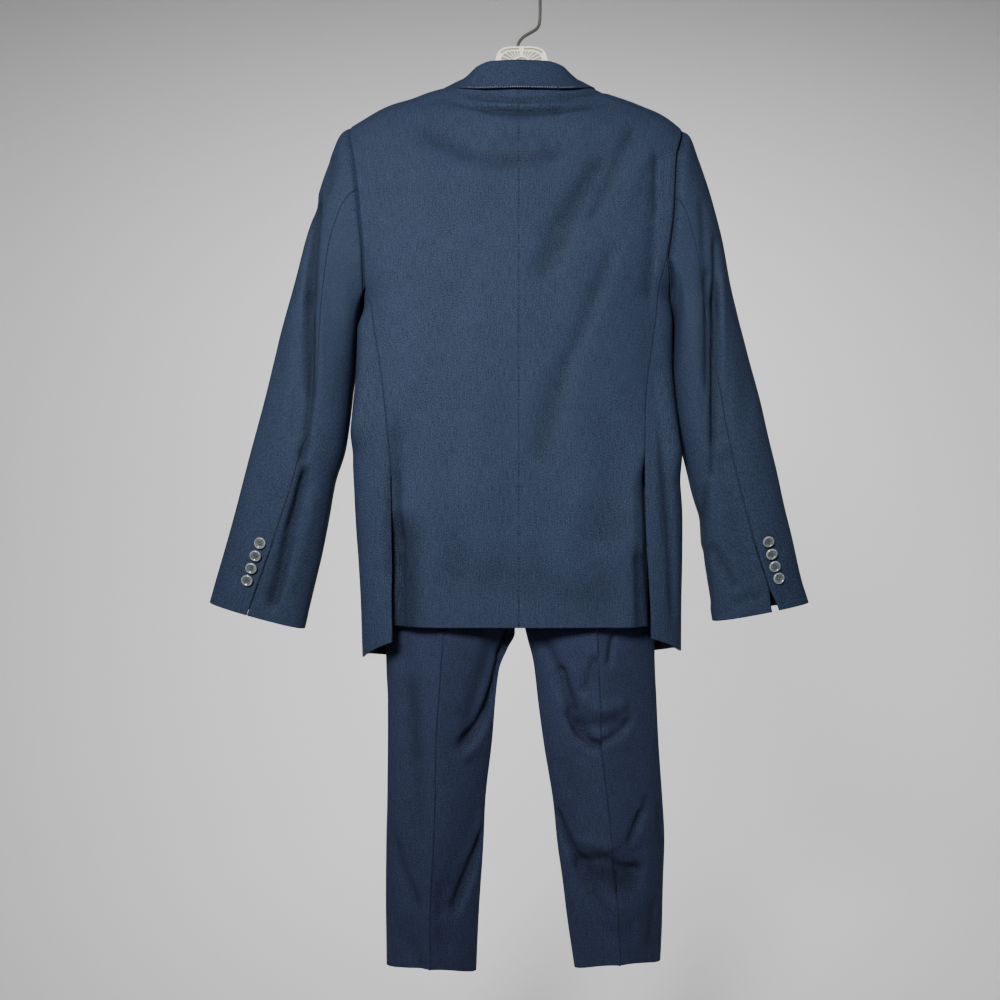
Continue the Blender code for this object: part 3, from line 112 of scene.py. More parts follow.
ShoulderPoint = namedtuple("ShoulderPoint", "x left right")
SHOULDER = rows_of(
    ShoulderPoint, (0.0, -0.119, -0.119), (0.04, -0.127, -0.127), (0.08, -0.141, -0.1414),
    (0.093, -0.1444, -0.145), (0.117, -0.1515, -0.1528), (0.138, -0.1584, -0.1602),
    (0.16, -0.165, -0.1683), (0.179, -0.1733, -0.176), (0.1935, -0.1812, -0.1842),
    (0.207, -0.1892, -0.194), (0.2185, -0.1962, -0.203), (0.24, -0.212, -0.22),
)

# The side seam of the back from the hem up, and above it the armhole
SideEdge = namedtuple("SideEdge", "z left right")
BACK_EDGE = rows_of(
    SideEdge, (-0.845, 0.1594, 0.159), (-0.76, 0.1613, 0.158), (-0.679, 0.1625, 0.1588),
    (-0.635, 0.1628, 0.1594), (-0.609, 0.165, 0.1603), (-0.5715, 0.1688, 0.1616),
    (-0.54, 0.1726, 0.1643), (-0.502, 0.1776, 0.1694), (-0.464, 0.184, 0.1744),
    (-0.44, 0.188, 0.1774), (-0.413, 0.197, 0.1812), (-0.377, 0.1975, 0.189),
    (-0.316, 0.2019, 0.1963), (-0.28, 0.2057, 0.198), (-0.248, 0.2102, 0.2001),
    (-0.22, 0.2165, 0.2085), (-0.195, 0.2185, 0.2145),
)
FRONT_EDGE = rows_of(
    SideEdge, (-0.893, 0.188, 0.19), (-0.66, 0.188, 0.188), (-0.527, 0.183, 0.176),
    (-0.42, 0.191, 0.185), (-0.37, 0.192, 0.188), (-0.3, 0.195, 0.192),
    (-0.24, 0.205, 0.201), (-0.195, 0.2185, 0.2145),
)

# Heights of a panel's rows where they cross an edge: hem, vent top, meeting with the armhole, top
SeamLevels = namedtuple("SeamLevels", "hem vent join top")
ROW_STOPS = (0.0, 0.5, 1.0, 2.0)
BACK_CENTRE = SeamLevels(BACK_HEM_Z, VENT_TOP_Z, -0.4, NECK_Z)
BACK_LEVELS = {
    "left": SeamLevels(BACK_HEM_Z, VENT_TOP_Z, -0.415, -0.1962),
    "right": SeamLevels(BACK_HEM_Z, VENT_TOP_Z, -0.3773, -0.1995),
}
SIDE_BACK_LEVELS = {
    "left": BACK_LEVELS["left"]._replace(hem=-0.8635),
    "right": BACK_LEVELS["right"]._replace(hem=-0.859),
}
SIDE_MIDDLE_HEM = {"left": -0.886, "right": -0.879}
FRONT_LEVELS = {
    "left": SeamLevels(-0.896, VENT_TOP_Z, -0.42, -0.1962),
    "right": SeamLevels(-0.891, VENT_TOP_Z, -0.42, -0.1995),
}
FRONT_CENTRE = SeamLevels(-0.908, VENT_TOP_Z, -0.43, -0.1405)

# Free edge of a front: cut away at the hem, straight at the buttons, then the lapel's roll line
EdgePoint = namedtuple("EdgePoint", "z x")
FRONT_FREE_EDGE = rows_of(
    EdgePoint, (-0.908, 0.12), (-0.902, 0.092), (-0.885, 0.063), (-0.85, 0.034), (-0.79, 0.01),
    (-0.7, -0.01), (-0.6, -FRONT_LAP), (-0.5, -FRONT_LAP), (-0.44, 0.0), (-0.1405, NECK_X),
)

LAPEL_LOW_Z = {"left": -0.448, "right": -0.425}
LAPEL_GORGE_Z = -0.186
LAPEL_NOTCH_Z = -0.232
LAPEL_ROLL_LIFT = 0.003
LAPEL_END = 0.006
LAPEL_OUTER = rows_of(
    EdgePoint, (-0.448, 0.004), (-0.4, 0.046), (-0.34, 0.081), (-0.28, 0.105), (-0.232, 0.122),
)

# Collar, one row for each section from the centre back to the front end.
# face is -1 on the back and 1 on the front; a lift is the distance off the body's form
CollarSection = namedtuple(
    "CollarSection",
    "along face base_x base_z base_lift roll_x roll_z roll_lift "
    "fall_x fall_z fall_lift right_shift",
)
COLLAR = rows_of(
    CollarSection,
    (0.0, -1, 0.0, -0.1508, -0.0005, 0.0, -0.1228, 0.0005, 0.0, -0.1606, 0.0065, 0.0),
    (0.22, -1, 0.036, -0.1488, -0.0005, 0.033, -0.1228, 0.001, 0.04, -0.1604, 0.0065, 0.002),
    (0.4, -1, 0.062, -0.1446, -0.0005, 0.053, -0.1262, 0.002, 0.068, -0.1565, 0.006, 0.0042),
    (0.54, -1, 0.0785, -0.1385, 0.0, 0.068, -0.1312, 0.001, 0.0915, -0.1455, 0.006, 0.0045),
    (0.64, 1, 0.0785, -0.139, 0.002, 0.0725, -0.1324, 0.005, 0.1, -0.141, 0.006, 0.003),
    (0.78, 1, 0.0755, -0.153, 0.006, 0.0745, -0.148, 0.009, 0.106, -0.164, 0.006, 0.001),
    (1.0, 1, 0.069, -0.183, 0.005, 0.068, -0.179, 0.008, 0.106, -0.208, 0.005, 0.0),
)
COLLAR_FOLD_RADIUS = 0.0026

SleeveSection = namedtuple("SleeveSection", "along outer_x outer_z inner_x inner_z depth")
SLEEVE = {
    "left": rows_of(
        SleeveSection, (0.0, 0.2185, -0.1962, 0.2015, -0.43, 0.047),
        (0.04, 0.2305, -0.2045, 0.204, -0.44, 0.0475),
        (0.1, 0.2455, -0.237, 0.2065, -0.455, 0.047),
        (0.18, 0.2635, -0.29, 0.2105, -0.49, 0.046),
        (0.26, 0.2785, -0.343, 0.2145, -0.53, 0.0445),
        (0.34, 0.2915, -0.395, 0.219, -0.57, 0.043),
        (0.46, 0.3135, -0.474, 0.2265, -0.62, 0.0405),
        (0.58, 0.333, -0.553, 0.24, -0.664, 0.0375),
        (0.7, 0.3545, -0.632, 0.2485, -0.712, 0.0345),
        (0.82, 0.3755, -0.711, 0.259, -0.765, 0.031),
        (0.94, 0.398, -0.79, 0.273, -0.824, 0.0265),
        (1.0, 0.406, -0.819, 0.28, -0.854, 0.0245),
    ),
    "right": rows_of(
        SleeveSection, (0.0, 0.2145, -0.1995, 0.1985, -0.43, 0.047),
        (0.04, 0.2245, -0.2075, 0.2025, -0.44, 0.0475),
        (0.1, 0.2355, -0.237, 0.2045, -0.455, 0.047),
        (0.18, 0.2525, -0.29, 0.2035, -0.49, 0.046),
        (0.26, 0.2665, -0.343, 0.2025, -0.527, 0.0445),
        (0.34, 0.2765, -0.395, 0.206, -0.568, 0.043),
        (0.46, 0.2965, -0.474, 0.214, -0.615, 0.0405),
        (0.58, 0.317, -0.553, 0.2255, -0.664, 0.0375),
        (0.7, 0.336, -0.632, 0.2345, -0.71, 0.0345),
        (0.82, 0.355, -0.711, 0.2425, -0.765, 0.031),
        (0.94, 0.374, -0.79, 0.2505, -0.818, 0.0265),
        (1.0, 0.3825, -0.819, 0.255, -0.844, 0.0245),
    ),
}
SLEEVE_SQUARE = 2.3
SLEEVE_HEAD_EASE = 0.3
FORE_SEAM_SHARE = 0.86

# Hind seam: the share of the sleeve's width, from its outer edge, at which it lies on the back
SeamShare = namedtuple("SeamShare", "along share")
HIND_SEAM = {
    "left": rows_of(
        SeamShare, (0.0, 0.4), (0.14, 0.37), (0.26, 0.45), (0.5, 0.61), (0.66, 0.58), (0.81, 0.52),
        (1.0, 0.437),
    ),
    "right": rows_of(
        SeamShare, (0.0, 0.445), (0.18, 0.45), (0.42, 0.472), (0.6, 0.52), (0.81, 0.475),
        (0.94, 0.406), (1.0, 0.395),
    ),
}
ARM_STOPS = np.array([0, 0.14, 0.29, 0.43, 0.57, 0.7, 0.82, 0.91, 0.965, 0.99, 1.0])
HIND_SEAM_STOP = {"left": 4, "right": 3}
FORE_SEAM_STOP = 1
# A cuff's slit: where down the sleeve its edges part, and by what share of the sleeve's width
CUFF_SLIT_FROM = 0.925
CUFF_GAP_FROM = (0.8, 0.84)
CUFF_GAP_SHARE = 0.003
CUFF_SLIT_SHARE = {"left": -0.001, "right": 0.032}

ButtonPlace = namedtuple("ButtonPlace", "along share")
CUFF_BUTTONS = {
    "left": rows_of(
        ButtonPlace, (0.833, 0.398), (0.86, 0.388), (0.887, 0.377), (0.914, 0.367),
    ),
    "right": rows_of(
        ButtonPlace, (0.835, 0.335), (0.862, 0.326), (0.889, 0.317), (0.917, 0.296),
    ),
}
CUFF_BUTTON_DIAMETER = 0.015
FRONT_BUTTON_DIAMETER = 0.02
BUTTON_THICKNESS = 0.003
WAIST_BUTTON_X = 0.012
FRONT_BUTTON_ZS = (-0.5, -0.6)

FLAP_IN_X = 0.062
FLAP_OUT_X = 0.18
FLAP_TOP_Z = -0.64
FLAP_HEIGHT = 0.052
WELT_IN_X = 0.098
WELT_OUT_X = 0.172
WELT_TOP_Z = -0.338
WELT_HEIGHT = 0.023
WELT_SLANT = 0.008
FLAP_LIFT = 0.0006

# Trousers
WAIST_TOP_Z = -0.3
WAISTBAND_Z = -0.338
LegSection = namedtuple("LegSection", "z outer crease inner back front inner_depth")
HIP = rows_of(
    LegSection, (-0.535, 0.187, 0.096, 0.0, 0.038, 0.033, 0.018),
    (-0.49, 0.188, 0.097, 0.0, 0.034, 0.029, 0.028), (-0.4, 0.187, 0.098, 0.0, 0.02, 0.017, 0.017),
    (-0.338, 0.185, 0.098, 0.0, 0.0095, 0.0095, 0.0095),
)
LEG = {
    "left": rows_of(
        LegSection, (-1.305, 0.1745, 0.113, 0.0545, 0.036, 0.033, 0.0),
        (-1.23, 0.1745, 0.114, 0.051, 0.038, 0.034, 0.0),
        (-1.133, 0.1739, 0.11, 0.0449, 0.041, 0.036, 0.0),
        (-1.08, 0.1728, 0.1078, 0.0422, 0.042, 0.037, 0.0),
        (-1.001, 0.1726, 0.1066, 0.0335, 0.043, 0.038, 0.0),
        (-0.948, 0.1726, 0.1036, 0.0291, 0.044, 0.038, 0.0),
        (-0.908, 0.174, 0.1007, 0.024, 0.045, 0.038, 0.0),
        (-0.88, 0.1745, 0.099, 0.013, 0.045, 0.038, 0.0),
        (-0.86, 0.175, 0.098, 0.0035, 0.045, 0.038, 0.0),
        (-0.7, 0.18, 0.096, 0.0018, 0.044, 0.038, 0.0),
        (-0.6, 0.184, 0.096, 0.0016, 0.042, 0.036, 0.0),
        (-0.556, 0.186, 0.096, 0.001, 0.04, 0.034, 0.002),
    ) + HIP,
    "right": rows_of(
        LegSection, (-1.305, 0.187, 0.131, 0.074, 0.036, 0.033, 0.0),
        (-1.238, 0.1908, 0.127, 0.0644, 0.038, 0.034, 0.0),
        (-1.185, 0.1921, 0.1237, 0.0578, 0.04, 0.035, 0.0),
        (-1.133, 0.1935, 0.118, 0.0499, 0.041, 0.036, 0.0),
        (-1.08, 0.1908, 0.113, 0.0447, 0.042, 0.037, 0.0),
        (-1.001, 0.1856, 0.1045, 0.0328, 0.043, 0.038, 0.0),
        (-0.948, 0.1829, 0.102, 0.0249, 0.044, 0.038, 0.0),
        (-0.896, 0.1803, 0.1, 0.0183, 0.045, 0.038, 0.0),
        (-0.866, 0.18, 0.099, 0.011, 0.045, 0.038, 0.0),
        (-0.84, 0.18, 0.098, 0.006, 0.045, 0.038, 0.0),
        (-0.7, 0.182, 0.096, 0.0018, 0.044, 0.038, 0.0),
        (-0.6, 0.185, 0.096, 0.0016, 0.042, 0.036, 0.0),
        (-0.556, 0.1865, 0.096, 0.001, 0.04, 0.034, 0.002),
    ) + HIP,
}
LEG_HEM = {"left": (-1.2956, -1.286, -1.303), "right": (-1.29, -1.28, -1.299)}
CREASE_POWER = 1.12
EDGE_POWER = 1.75
WAIST_SQUARE = 3.5

# Broad folds that shape the cloth: a soft trough from one point to another
Fold = namedtuple("Fold", "x z to_x to_z half_width depth")
BACK_FOLDS = rows_of(
    Fold, (-0.12, -0.172, 0.11, -0.176, 0.01, 0.0025),
    (-0.1, -0.232, 0.09, -0.236, 0.02, 0.0025), (0.15, -0.215, 0.04, -0.35, 0.016, 0.0025),
    (0.176, -0.26, 0.168, -0.42, 0.01, 0.0035),
)
SLEEVE_FOLDS = {
    "left": rows_of(
        Fold, (-0.262, -0.33, -0.284, -0.6, 0.011, 0.0035),
        (-0.272, -0.665, -0.318, -0.81, 0.01, 0.003),
    ),
    "right": rows_of(
        Fold, (0.245, -0.4, 0.262, -0.6, 0.01, 0.003),
        (0.262, -0.64, 0.3, -0.78, 0.012, 0.0025),
    ),
}
LEG_FOLDS = {
    "left": rows_of(
        Fold, (-0.032, -0.865, -0.062, -0.965, 0.01, 0.005),
        (-0.145, -0.88, -0.138, -1.26, 0.012, 0.0035),
        (-0.052, -1.09, -0.094, -1.205, 0.012, 0.0035),
    ),
    "right": rows_of(
        Fold, (0.054, -0.92, 0.082, -0.975, 0.01, 0.0045),
        (0.082, -0.975, 0.124, -0.972, 0.01, 0.0045), (0.054, -1.088, 0.082, -1.16, 0.011, 0.0035),
        (0.096, -1.142, 0.156, -1.136, 0.01, 0.0025),
    ),
}

# Hanger: a round frame, a crest with a fan of ribs, a wire hook and two clips on the bar
HANGER_X = 0.0045
FRAME_RADIUS = 0.0055
FRAME_CLEARANCE = 0.0013
FRAME_HALF_WIDTH = 0.192
FRAME_CORNER = (0.2, -0.204, 0.008)
BAR_CORNER = (0.178, -0.286, 0.018)
ARM_TOP_Z = -0.132
ARM_POINTS = 12
CORNER_STEPS = 4
CREST_HALF_WIDTH = 0.0352
CREST_FOOT_Z = -0.135
CREST_TOP_Z = -0.0885
CREST_POWER = 4.5
CREST_THICKNESS = 0.0032
CREST_RIM = 0.002
CREST_SLOT = 0.0024
CREST_INNER_RIM = 0.0064
CREST_POST = 0.0066
FAN_Z = -0.1131
FAN_RADIUS = 0.0123
FAN_HOLE_RADIUS = 0.0105
FAN_HOLE_SIDES = 28
FAN_WINDOWS = 6
FAN_FIRST_DEGREES = 14.0
FAN_LAST_DEGREES = 84.0
SLOT_TURN = 0.62
SLOT_STEPS = 8
RAY_STEPS = 40
RIB_WIDTH = 0.0012
WIRE_RADIUS = 0.0021
HOOK_RADIUS = 0.029
HOOK_SWEEP_DEGREES = 176.0
HookPoint = namedtuple("HookPoint", "x z")
HOOK_STEM = rows_of(
    HookPoint, (-0.0005, -0.0882), (-0.0003, -0.0855), (0.0022, -0.0805), (0.008, -0.0745),
    (0.018, -0.069), (0.0255, -0.0645), (0.0285, -0.057), (0.029, -0.042),
)
SIDES = {"left": -1.0, "right": 1.0}
AHEAD = (0, 1, 0)
STEP = 1e-4
MERGE_DISTANCE = STEP / 10
SHORTEST = 1e-12
MILLIMETRES = 1000


# ---------------------------------------------------------------- small mathematics

def along_table(table, key, value, at):
    """A smooth curve through a table's rows that never overshoots them."""
    rows = sorted(table, key=lambda row: getattr(row, key))
    places = np.array([getattr(row, key) for row in rows])
    values = np.array([getattr(row, value) for row in rows])
    run = np.diff(places)
    slope = np.diff(values) / run
    tangent = np.concatenate([slope[:1], np.zeros(len(rows) - 2), slope[-1:]])
    product = slope[:-1] * slope[1:]
    total = slope[:-1] + slope[1:]
    rising = product > 0
    tangent[1:-1][rising] = 2 * product[rising] / total[rising]
    index = np.clip(np.searchsorted(places, at) - 1, 0, len(rows) - 2)
    t = np.clip((at - places[index]) / run[index], 0, 1)
    start = (1 + 2 * t) * (1 - t) ** 2 * values[index]
    end = t * t * (3 - 2 * t) * values[index + 1]
    leaving = t * (1 - t) ** 2 * tangent[index]
    arriving = t * t * (t - 1) * tangent[index + 1]
    return start + end + run[index] * (leaving + arriving)


def ramp(value, low, high):
    """0 at low, 1 at high, eased at both ends."""
    t = np.clip((value - low) / (high - low), 0, 1)
    return t * t * (3 - 2 * t)


def mix(a, b, share):
    return a + (b - a) * share


def unit(vectors):
    return vectors / np.maximum(np.linalg.norm(vectors, axis=-1, keepdims=True), SHORTEST)


def signed_power(value, power):
    return np.sign(value) * np.abs(value) ** power


def levels_at(levels, row):
    """The height of a panel's row where it crosses an edge with these levels."""
    return np.interp(row, ROW_STOPS, levels)


def fold_depth(folds, x, z):
    """How far the folds push the cloth in at each place, for x and z of the whole suit."""
    pushed = np.zeros(np.broadcast(x, z).shape)
    for fold in folds:
        run = np.array([fold.to_x - fold.x, fold.to_z - fold.z])
        share = ((x - fold.x) * run[0] + (z - fold.z) * run[1]) / (run @ run)
        share = np.clip(share, 0, 1)
        away = np.hypot(x - fold.x - share * run[0], z - fold.z - share * run[1])
        pushed = pushed + fold.depth * np.exp(-((away / fold.half_width) ** 2))
    return pushed


# ---------------------------------------------------------------- the jacket's form

def body_size(side, z):
    """Half the body's width at each height, and how square its section is."""
    half = along_table(BODY, "z", side, z)
    square = along_table(BODY, "z", "square_" + side, z)
    return half, square


def shoulder_z(side, x):
    return along_table(SHOULDER, "x", side, x)


def neck_or_shoulder_z(side, x):
    """The back's top edge: the neck's curve, and beyond it the shoulder."""
    neck_point = shoulder_z(side, np.array([NECK_X]))[0]
    neck = mix(NECK_Z, neck_point, np.clip(x / NECK_X, 0, 1) ** NECK_POWER)
    return np.where(x < NECK_X, neck, shoulder_z(side, x))


def body_depth(side, face, x, z):
    """Distance of the form from the middle plane, before (face 1) or behind (face -1)."""
    half, square = body_size(side, z)
    depth = along_table(BODY, "z", "front" if face > 0 else "back", z)
    rise = np.clip((shoulder_z(side, np.abs(x)) - z) / SHOULDER_ROLL, 0, 1)
    closing = (1 - (1 - rise) ** SHOULDER_POWER) ** (1 / SHOULDER_POWER)
    rounding = (1 - np.clip(np.abs(x) / half, 0, 1) ** square) ** (1 / square)
    return depth * closing * rounding


def with_top(z, across, row, centre, edge, line_z):
    """Bends the rows above the armhole's foot so that the last one lies on the top line."""
    above = np.clip(row - 1, 0, 1) ** 2
    return z + above * (line_z - mix(centre.top, edge.top, across))


# Heights and distances over which a vent opens and its edge tucks in
VENT_EASE = 0.02
VENT_TUCK_EASE = 0.025
VENT_TUCK_FROM = 0.016
VENT_TUCK_TO = 0.003
# Depths of the body, and the share of the panel from its side seam, over which a fold comes in
BACK_FOLD_DEPTHS = (0.01, 0.03)
BACK_FOLD_MARGIN = 0.12
# Rows below and above which the side panel's borders dip
SIDE_HEM_ROW = 0.3
SIDE_TOP_ROW = 0.7


def back_form(side, across, row):
    """Back panel: across 0 at the centre seam, 1 at the side; row 0 hem, 1 armhole, 2 shoulder."""
    edge_z = levels_at(BACK_LEVELS[side], row)
    centre_z = levels_at(BACK_CENTRE, row)
    edge_x = along_table(BACK_EDGE, "z", side, edge_z)
    vented = ramp(VENT_TOP_Z - edge_z, 0, VENT_EASE)
    x = across * (edge_x + VENT_UNDERLAP * vented)
    z = mix(centre_z, edge_z, across)
    top_x = across * along_table(BACK_EDGE, "z", side, np.array([BACK_LEVELS[side].top]))[0]
    line_z = neck_or_shoulder_z(side, top_x)
    z = with_top(z, across, row, BACK_CENTRE, BACK_LEVELS[side], line_z)
    depth = body_depth(side, -1, x, z)
    tuck = VENT_TUCK * ramp(VENT_TOP_Z + VENT_EASE - z, 0, VENT_TUCK_EASE)
    tuck = tuck * ramp(x, edge_x - VENT_TUCK_FROM, edge_x - VENT_TUCK_TO)
    signed_x = SIDES[side] * x
    folded = fold_depth(BACK_FOLDS, signed_x, z) * ramp(depth, *BACK_FOLD_DEPTHS)
    folded = folded * ramp(1 - across, 0, BACK_FOLD_MARGIN)
    return signed_x, -(depth - tuck - folded), z


def front_form(side, across, row):
    """Front panel: across 0 at the free edge, 1 at the side; rows as on the back."""
    edge_z = levels_at(FRONT_LEVELS[side], row)
    free_z = levels_at(FRONT_CENTRE, row)
    edge_x = along_table(FRONT_EDGE, "z", side, edge_z)
    free_x = along_table(FRONT_FREE_EDGE, "z", "x", free_z)
    x = mix(free_x, edge_x, across)
    z = mix(free_z, edge_z, across)
    tip_x = along_table(FRONT_EDGE, "z", side, np.array([FRONT_LEVELS[side].top]))[0]
    top_x = mix(NECK_X, tip_x, across)
    line_z = shoulder_z(side, top_x)
    z = with_top(z, across, row, FRONT_CENTRE, FRONT_LEVELS[side], line_z)
    return SIDES[side] * x, front_y(side, x, z), z


def front_y(side, x, z):
    """How far forward the front lies; the right one is set in where the left one laps over it."""
    depth = body_depth(side, 1, x, z)
    if side == "right":
        depth = depth - FRONT_INSET * ramp(-x, -LAP_END_X, -LAP_START_X)
    return depth


def side_form(side, across, row):
    """Side panel: across 0 at the back's seam, 1 at the front's; row 1 is the armhole's foot."""
    back_z = levels_at(SIDE_BACK_LEVELS[side], row)
    front_z = levels_at(FRONT_LEVELS[side], row)
    middle = np.sin(np.pi * across)
    hem_drop = SIDE_MIDDLE_HEM[side] - mix(SIDE_BACK_LEVELS[side].hem, FRONT_LEVELS[side].hem, 0.5)
    top_drop = UNDERARM_Z - mix(SIDE_BACK_LEVELS[side].join, FRONT_LEVELS[side].join, 0.5)
    z = mix(back_z, front_z, across)
    dip = hem_drop * ramp(SIDE_HEM_ROW - row, 0, SIDE_HEM_ROW)
    z = z + middle * (dip + top_drop * ramp(row, SIDE_TOP_ROW, 1.0))
    back_x = along_table(BACK_EDGE, "z", side, back_z)
    back_x = back_x + VENT_SPREAD[side] * ramp(VENT_TOP_Z - back_z, 0, VENT_TOP_Z - BACK_HEM_Z)
    front_x = along_table(FRONT_EDGE, "z", side, front_z)
    start = seam_angle(side, back_x, back_z)
    end = math.pi - seam_angle(side, front_x, front_z)
    angle = mix(start, end, across)
    half, square = body_size(side, z)
    depth = np.where(
        angle < math.pi / 2,
        along_table(BODY, "z", "back", z),
        along_table(BODY, "z", "front", z),
    )
    x = half * np.abs(np.sin(angle)) ** (2 / square)
    y = -depth * signed_power(np.cos(angle), 2 / square)
    return SIDES[side] * x, y, z


def seam_angle(side, x, z):
    """Angle round the body, from the middle of the back, of this distance from its middle."""
    half, square = body_size(side, z)
    return np.arcsin(np.clip(x / half, 0, 1) ** (square / 2))


# ---------------------------------------------------------------- the sleeves' form

def armhole_form(side, place):
    """The armhole's loop: 0 shoulder, 0 to 1 down the back, 1 to 2 under the arm, 2 to 3 up."""
    place = np.mod(place, 3.0)
    one = np.ones_like(place)
    back = back_form(side, one, np.clip(2 - place, 1, 2))
    under = side_form(side, np.clip(place - 1, 0, 1), one)
    front = front_form(side, one, np.clip(place - 1, 1, 2))
    on_back = place < 1
    on_front = place > 2
    return [
        np.where(on_back, b, np.where(on_front, f, u)) for b, u, f in zip(back, under, front)
    ]


def share_angle(share):
    """Angle round the sleeve, from its outer edge over the back, at this share of its width."""
    return np.arccos(np.clip(signed_power(1 - 2 * share, SLEEVE_SQUARE / 2), -1, 1))


def height_angle(side, place):
    """Angle at which the sleeve's head, seen from the side, reaches the armhole's height here."""
    top = armhole_form(side, np.zeros(1))[2][0]
    z = armhole_form(side, place)[2]
    return share_angle(np.clip((top - z) / (top - SLEEVE[side][0].inner_z), 0, 1))


def head_angle(side, place):
    """Angle round the sleeve's head of a place on the armhole, negative before the shoulder."""
    wrapped = np.mod(place, 3.0)
    angle = height_angle(side, place)
    back_foot, front_foot = height_angle(side, np.array([1.0, 2.0]))
    under = mix(back_foot, 2 * math.pi - front_foot, wrapped - 1)
    angle = np.where(wrapped > 1, np.where(wrapped > 2, 2 * math.pi - angle, under), angle)
    return np.where(place < 0, angle - 2 * math.pi, angle)


def tube_form(side, along, angle):
    """A sleeve as a free tube: along 0 head to 1 cuff, angle round it from its outer edge."""
    value = {
        name: along_table(SLEEVE[side], "along", name, along) for name in SleeveSection._fields[1:]
    }
    reach = signed_power(np.cos(angle), 2 / SLEEVE_SQUARE)
    x, z = (
        (value["outer" + axis] + value["inner" + axis]) / 2
        + (value["outer" + axis] - value["inner" + axis]) / 2 * reach
        for axis in ("_x", "_z")
    )
    y = -value["depth"] * signed_power(np.sin(angle), 2 / SLEEVE_SQUARE)
    return x, y, z


def hind_place(side):
    """Where on the armhole the sleeve's hind seam starts."""
    return 1 - ARM_STOPS[HIND_SEAM_STOP[side]]


def fore_place():
    """Where on the armhole the sleeve's fore seam starts."""
    return 2 + ARM_STOPS[FORE_SEAM_STOP]


# How far down the sleeve its seams leave the armhole, and where on its back a fold comes in
SEAM_EASE = 0.1
SLEEVE_FOLD_DEPTHS = (0.008, 0.02)


def sleeve_form(side, piece, place, along):
    """The top or under sleeve: place round the armhole, along 0 head to 1 cuff."""
    turn = 2 * math.pi
    easing = ramp(along, 0.0, SEAM_EASE)
    hind_share = along_table(HIND_SEAM[side], "along", "share", along)
    opened = CUFF_SLIT_SHARE[side] * ramp(along, CUFF_SLIT_FROM, 1.0)
    opened = opened + CUFF_GAP_SHARE * ramp(along, *CUFF_GAP_FROM)
    hind_first = head_angle(side, np.array([hind_place(side)]))[0]
    fore_first = head_angle(side, np.array([fore_place()]))[0]
    fore_now = mix(fore_first, turn - share_angle(FORE_SEAM_SHARE), easing)
    first = head_angle(side, place)
    if piece == "top":
        hind_now = mix(hind_first, share_angle(hind_share - opened), easing)
        share = (first - fore_first + turn) / (hind_first - fore_first + turn)
        angle = mix(fore_now - turn, hind_now, share)
    else:
        hind_now = mix(hind_first, share_angle(hind_share + opened), easing)
        share = (first - hind_first) / (fore_first - hind_first)
        angle = mix(hind_now, fore_now, share)
    x, y, z = tube_form(side, along, angle)
    start_x, start_y, start_z = tube_form(side, np.zeros_like(along), first)
    arm_x, arm_y, arm_z = armhole_form(side, place)
    fade = (1 - np.clip(along / SLEEVE_HEAD_EASE, 0, 1)) ** 2
    x = SIDES[side] * (x - fade * start_x) + fade * arm_x
    y = y + fade * (arm_y - start_y)
    z = z + fade * (arm_z - start_z)
    pushed = fold_depth(SLEEVE_FOLDS[side], x, z) * ramp(-y, *SLEEVE_FOLD_DEPTHS)
    return x, y + pushed, z


# ---------------------------------------------------------------- the trousers' form

# Depths of a leg over which a broad fold comes in
LEG_FOLD_DEPTHS = (0.005, 0.02)


def leg_form(side, face, across, row):
    """Half a leg: across 0 outseam, 1 inseam or seat seam; row 0 hem, 1 waistband."""
    outer_hem, crease_hem, inner_hem = LEG_HEM[side]
    dip = crease_hem - mix(outer_hem, inner_hem, 0.5)
    hem = mix(outer_hem, inner_hem, across) + dip * np.sin(np.pi * across)
    z = mix(hem, WAISTBAND_Z, row)
    table = LEG[side]
    outer = along_table(table, "z", "outer", z)
    crease = along_table(table, "z", "crease", z)
    inner = along_table(table, "z", "inner", z)
    depth = along_table(table, "z", "front" if face > 0 else "back", z)
    seat = np.clip(along_table(table, "z", "inner_depth", z), 0, depth)
    swing = 2 * across - 1
    x = np.where(swing < 0, mix(crease, outer, -swing), mix(crease, inner, swing))
    bulge = (1 - np.abs(swing) ** CREASE_POWER) ** (1 / EDGE_POWER)
    y = np.where(swing < 0, depth * bulge, seat + (depth - seat) * bulge)
    x = SIDES[side] * x
    if face < 0:
        y = y - fold_depth(LEG_FOLDS[side], x, z) * ramp(y, *LEG_FOLD_DEPTHS)
    return x, face * y, z


def waist_form(side, across, row):
    """Waistband: across 0 centre back, 1 centre front, round the hip."""
    top = LEG[side][-1]
    angle = np.pi * across
    x = top.outer * signed_power(np.sin(angle), 2 / WAIST_SQUARE)
    y = -top.back * signed_power(np.cos(angle), 2 / WAIST_SQUARE)
    z = mix(WAISTBAND_Z, WAIST_TOP_Z, row)
    return SIDES[side] * x, y, z


# ---------------------------------------------------------------- the collar's form

CollarCorners = namedtuple(
    "CollarCorners",
    "along base_x base_y base_z roll_x roll_y roll_z fall_x fall_y fall_z right_shift",
)


def collar_rows():
    """Each section's three corners, as points."""
    rows = []
    for section in COLLAR:
        corners = {"along": section.along, "right_shift": section.right_shift}
        for name in ("base", "roll", "fall"):
            x = getattr(section, name + "_x")
            z = getattr(section, name + "_z")
            lift = getattr(section, name + "_lift")
            if name != "roll":
                depth = body_depth("left", section.face, np.array([x]), np.array([z]))[0]
            corners[name + "_x"] = x
            corners[name + "_y"] = section.face * (depth + lift)
            corners[name + "_z"] = z
        rows.append(CollarCorners(**corners))
    return rows


# Heights on the collar at which its stand ends and its fall starts, with the fold between them
COLLAR_STAND = 0.35
COLLAR_FALL = 0.55


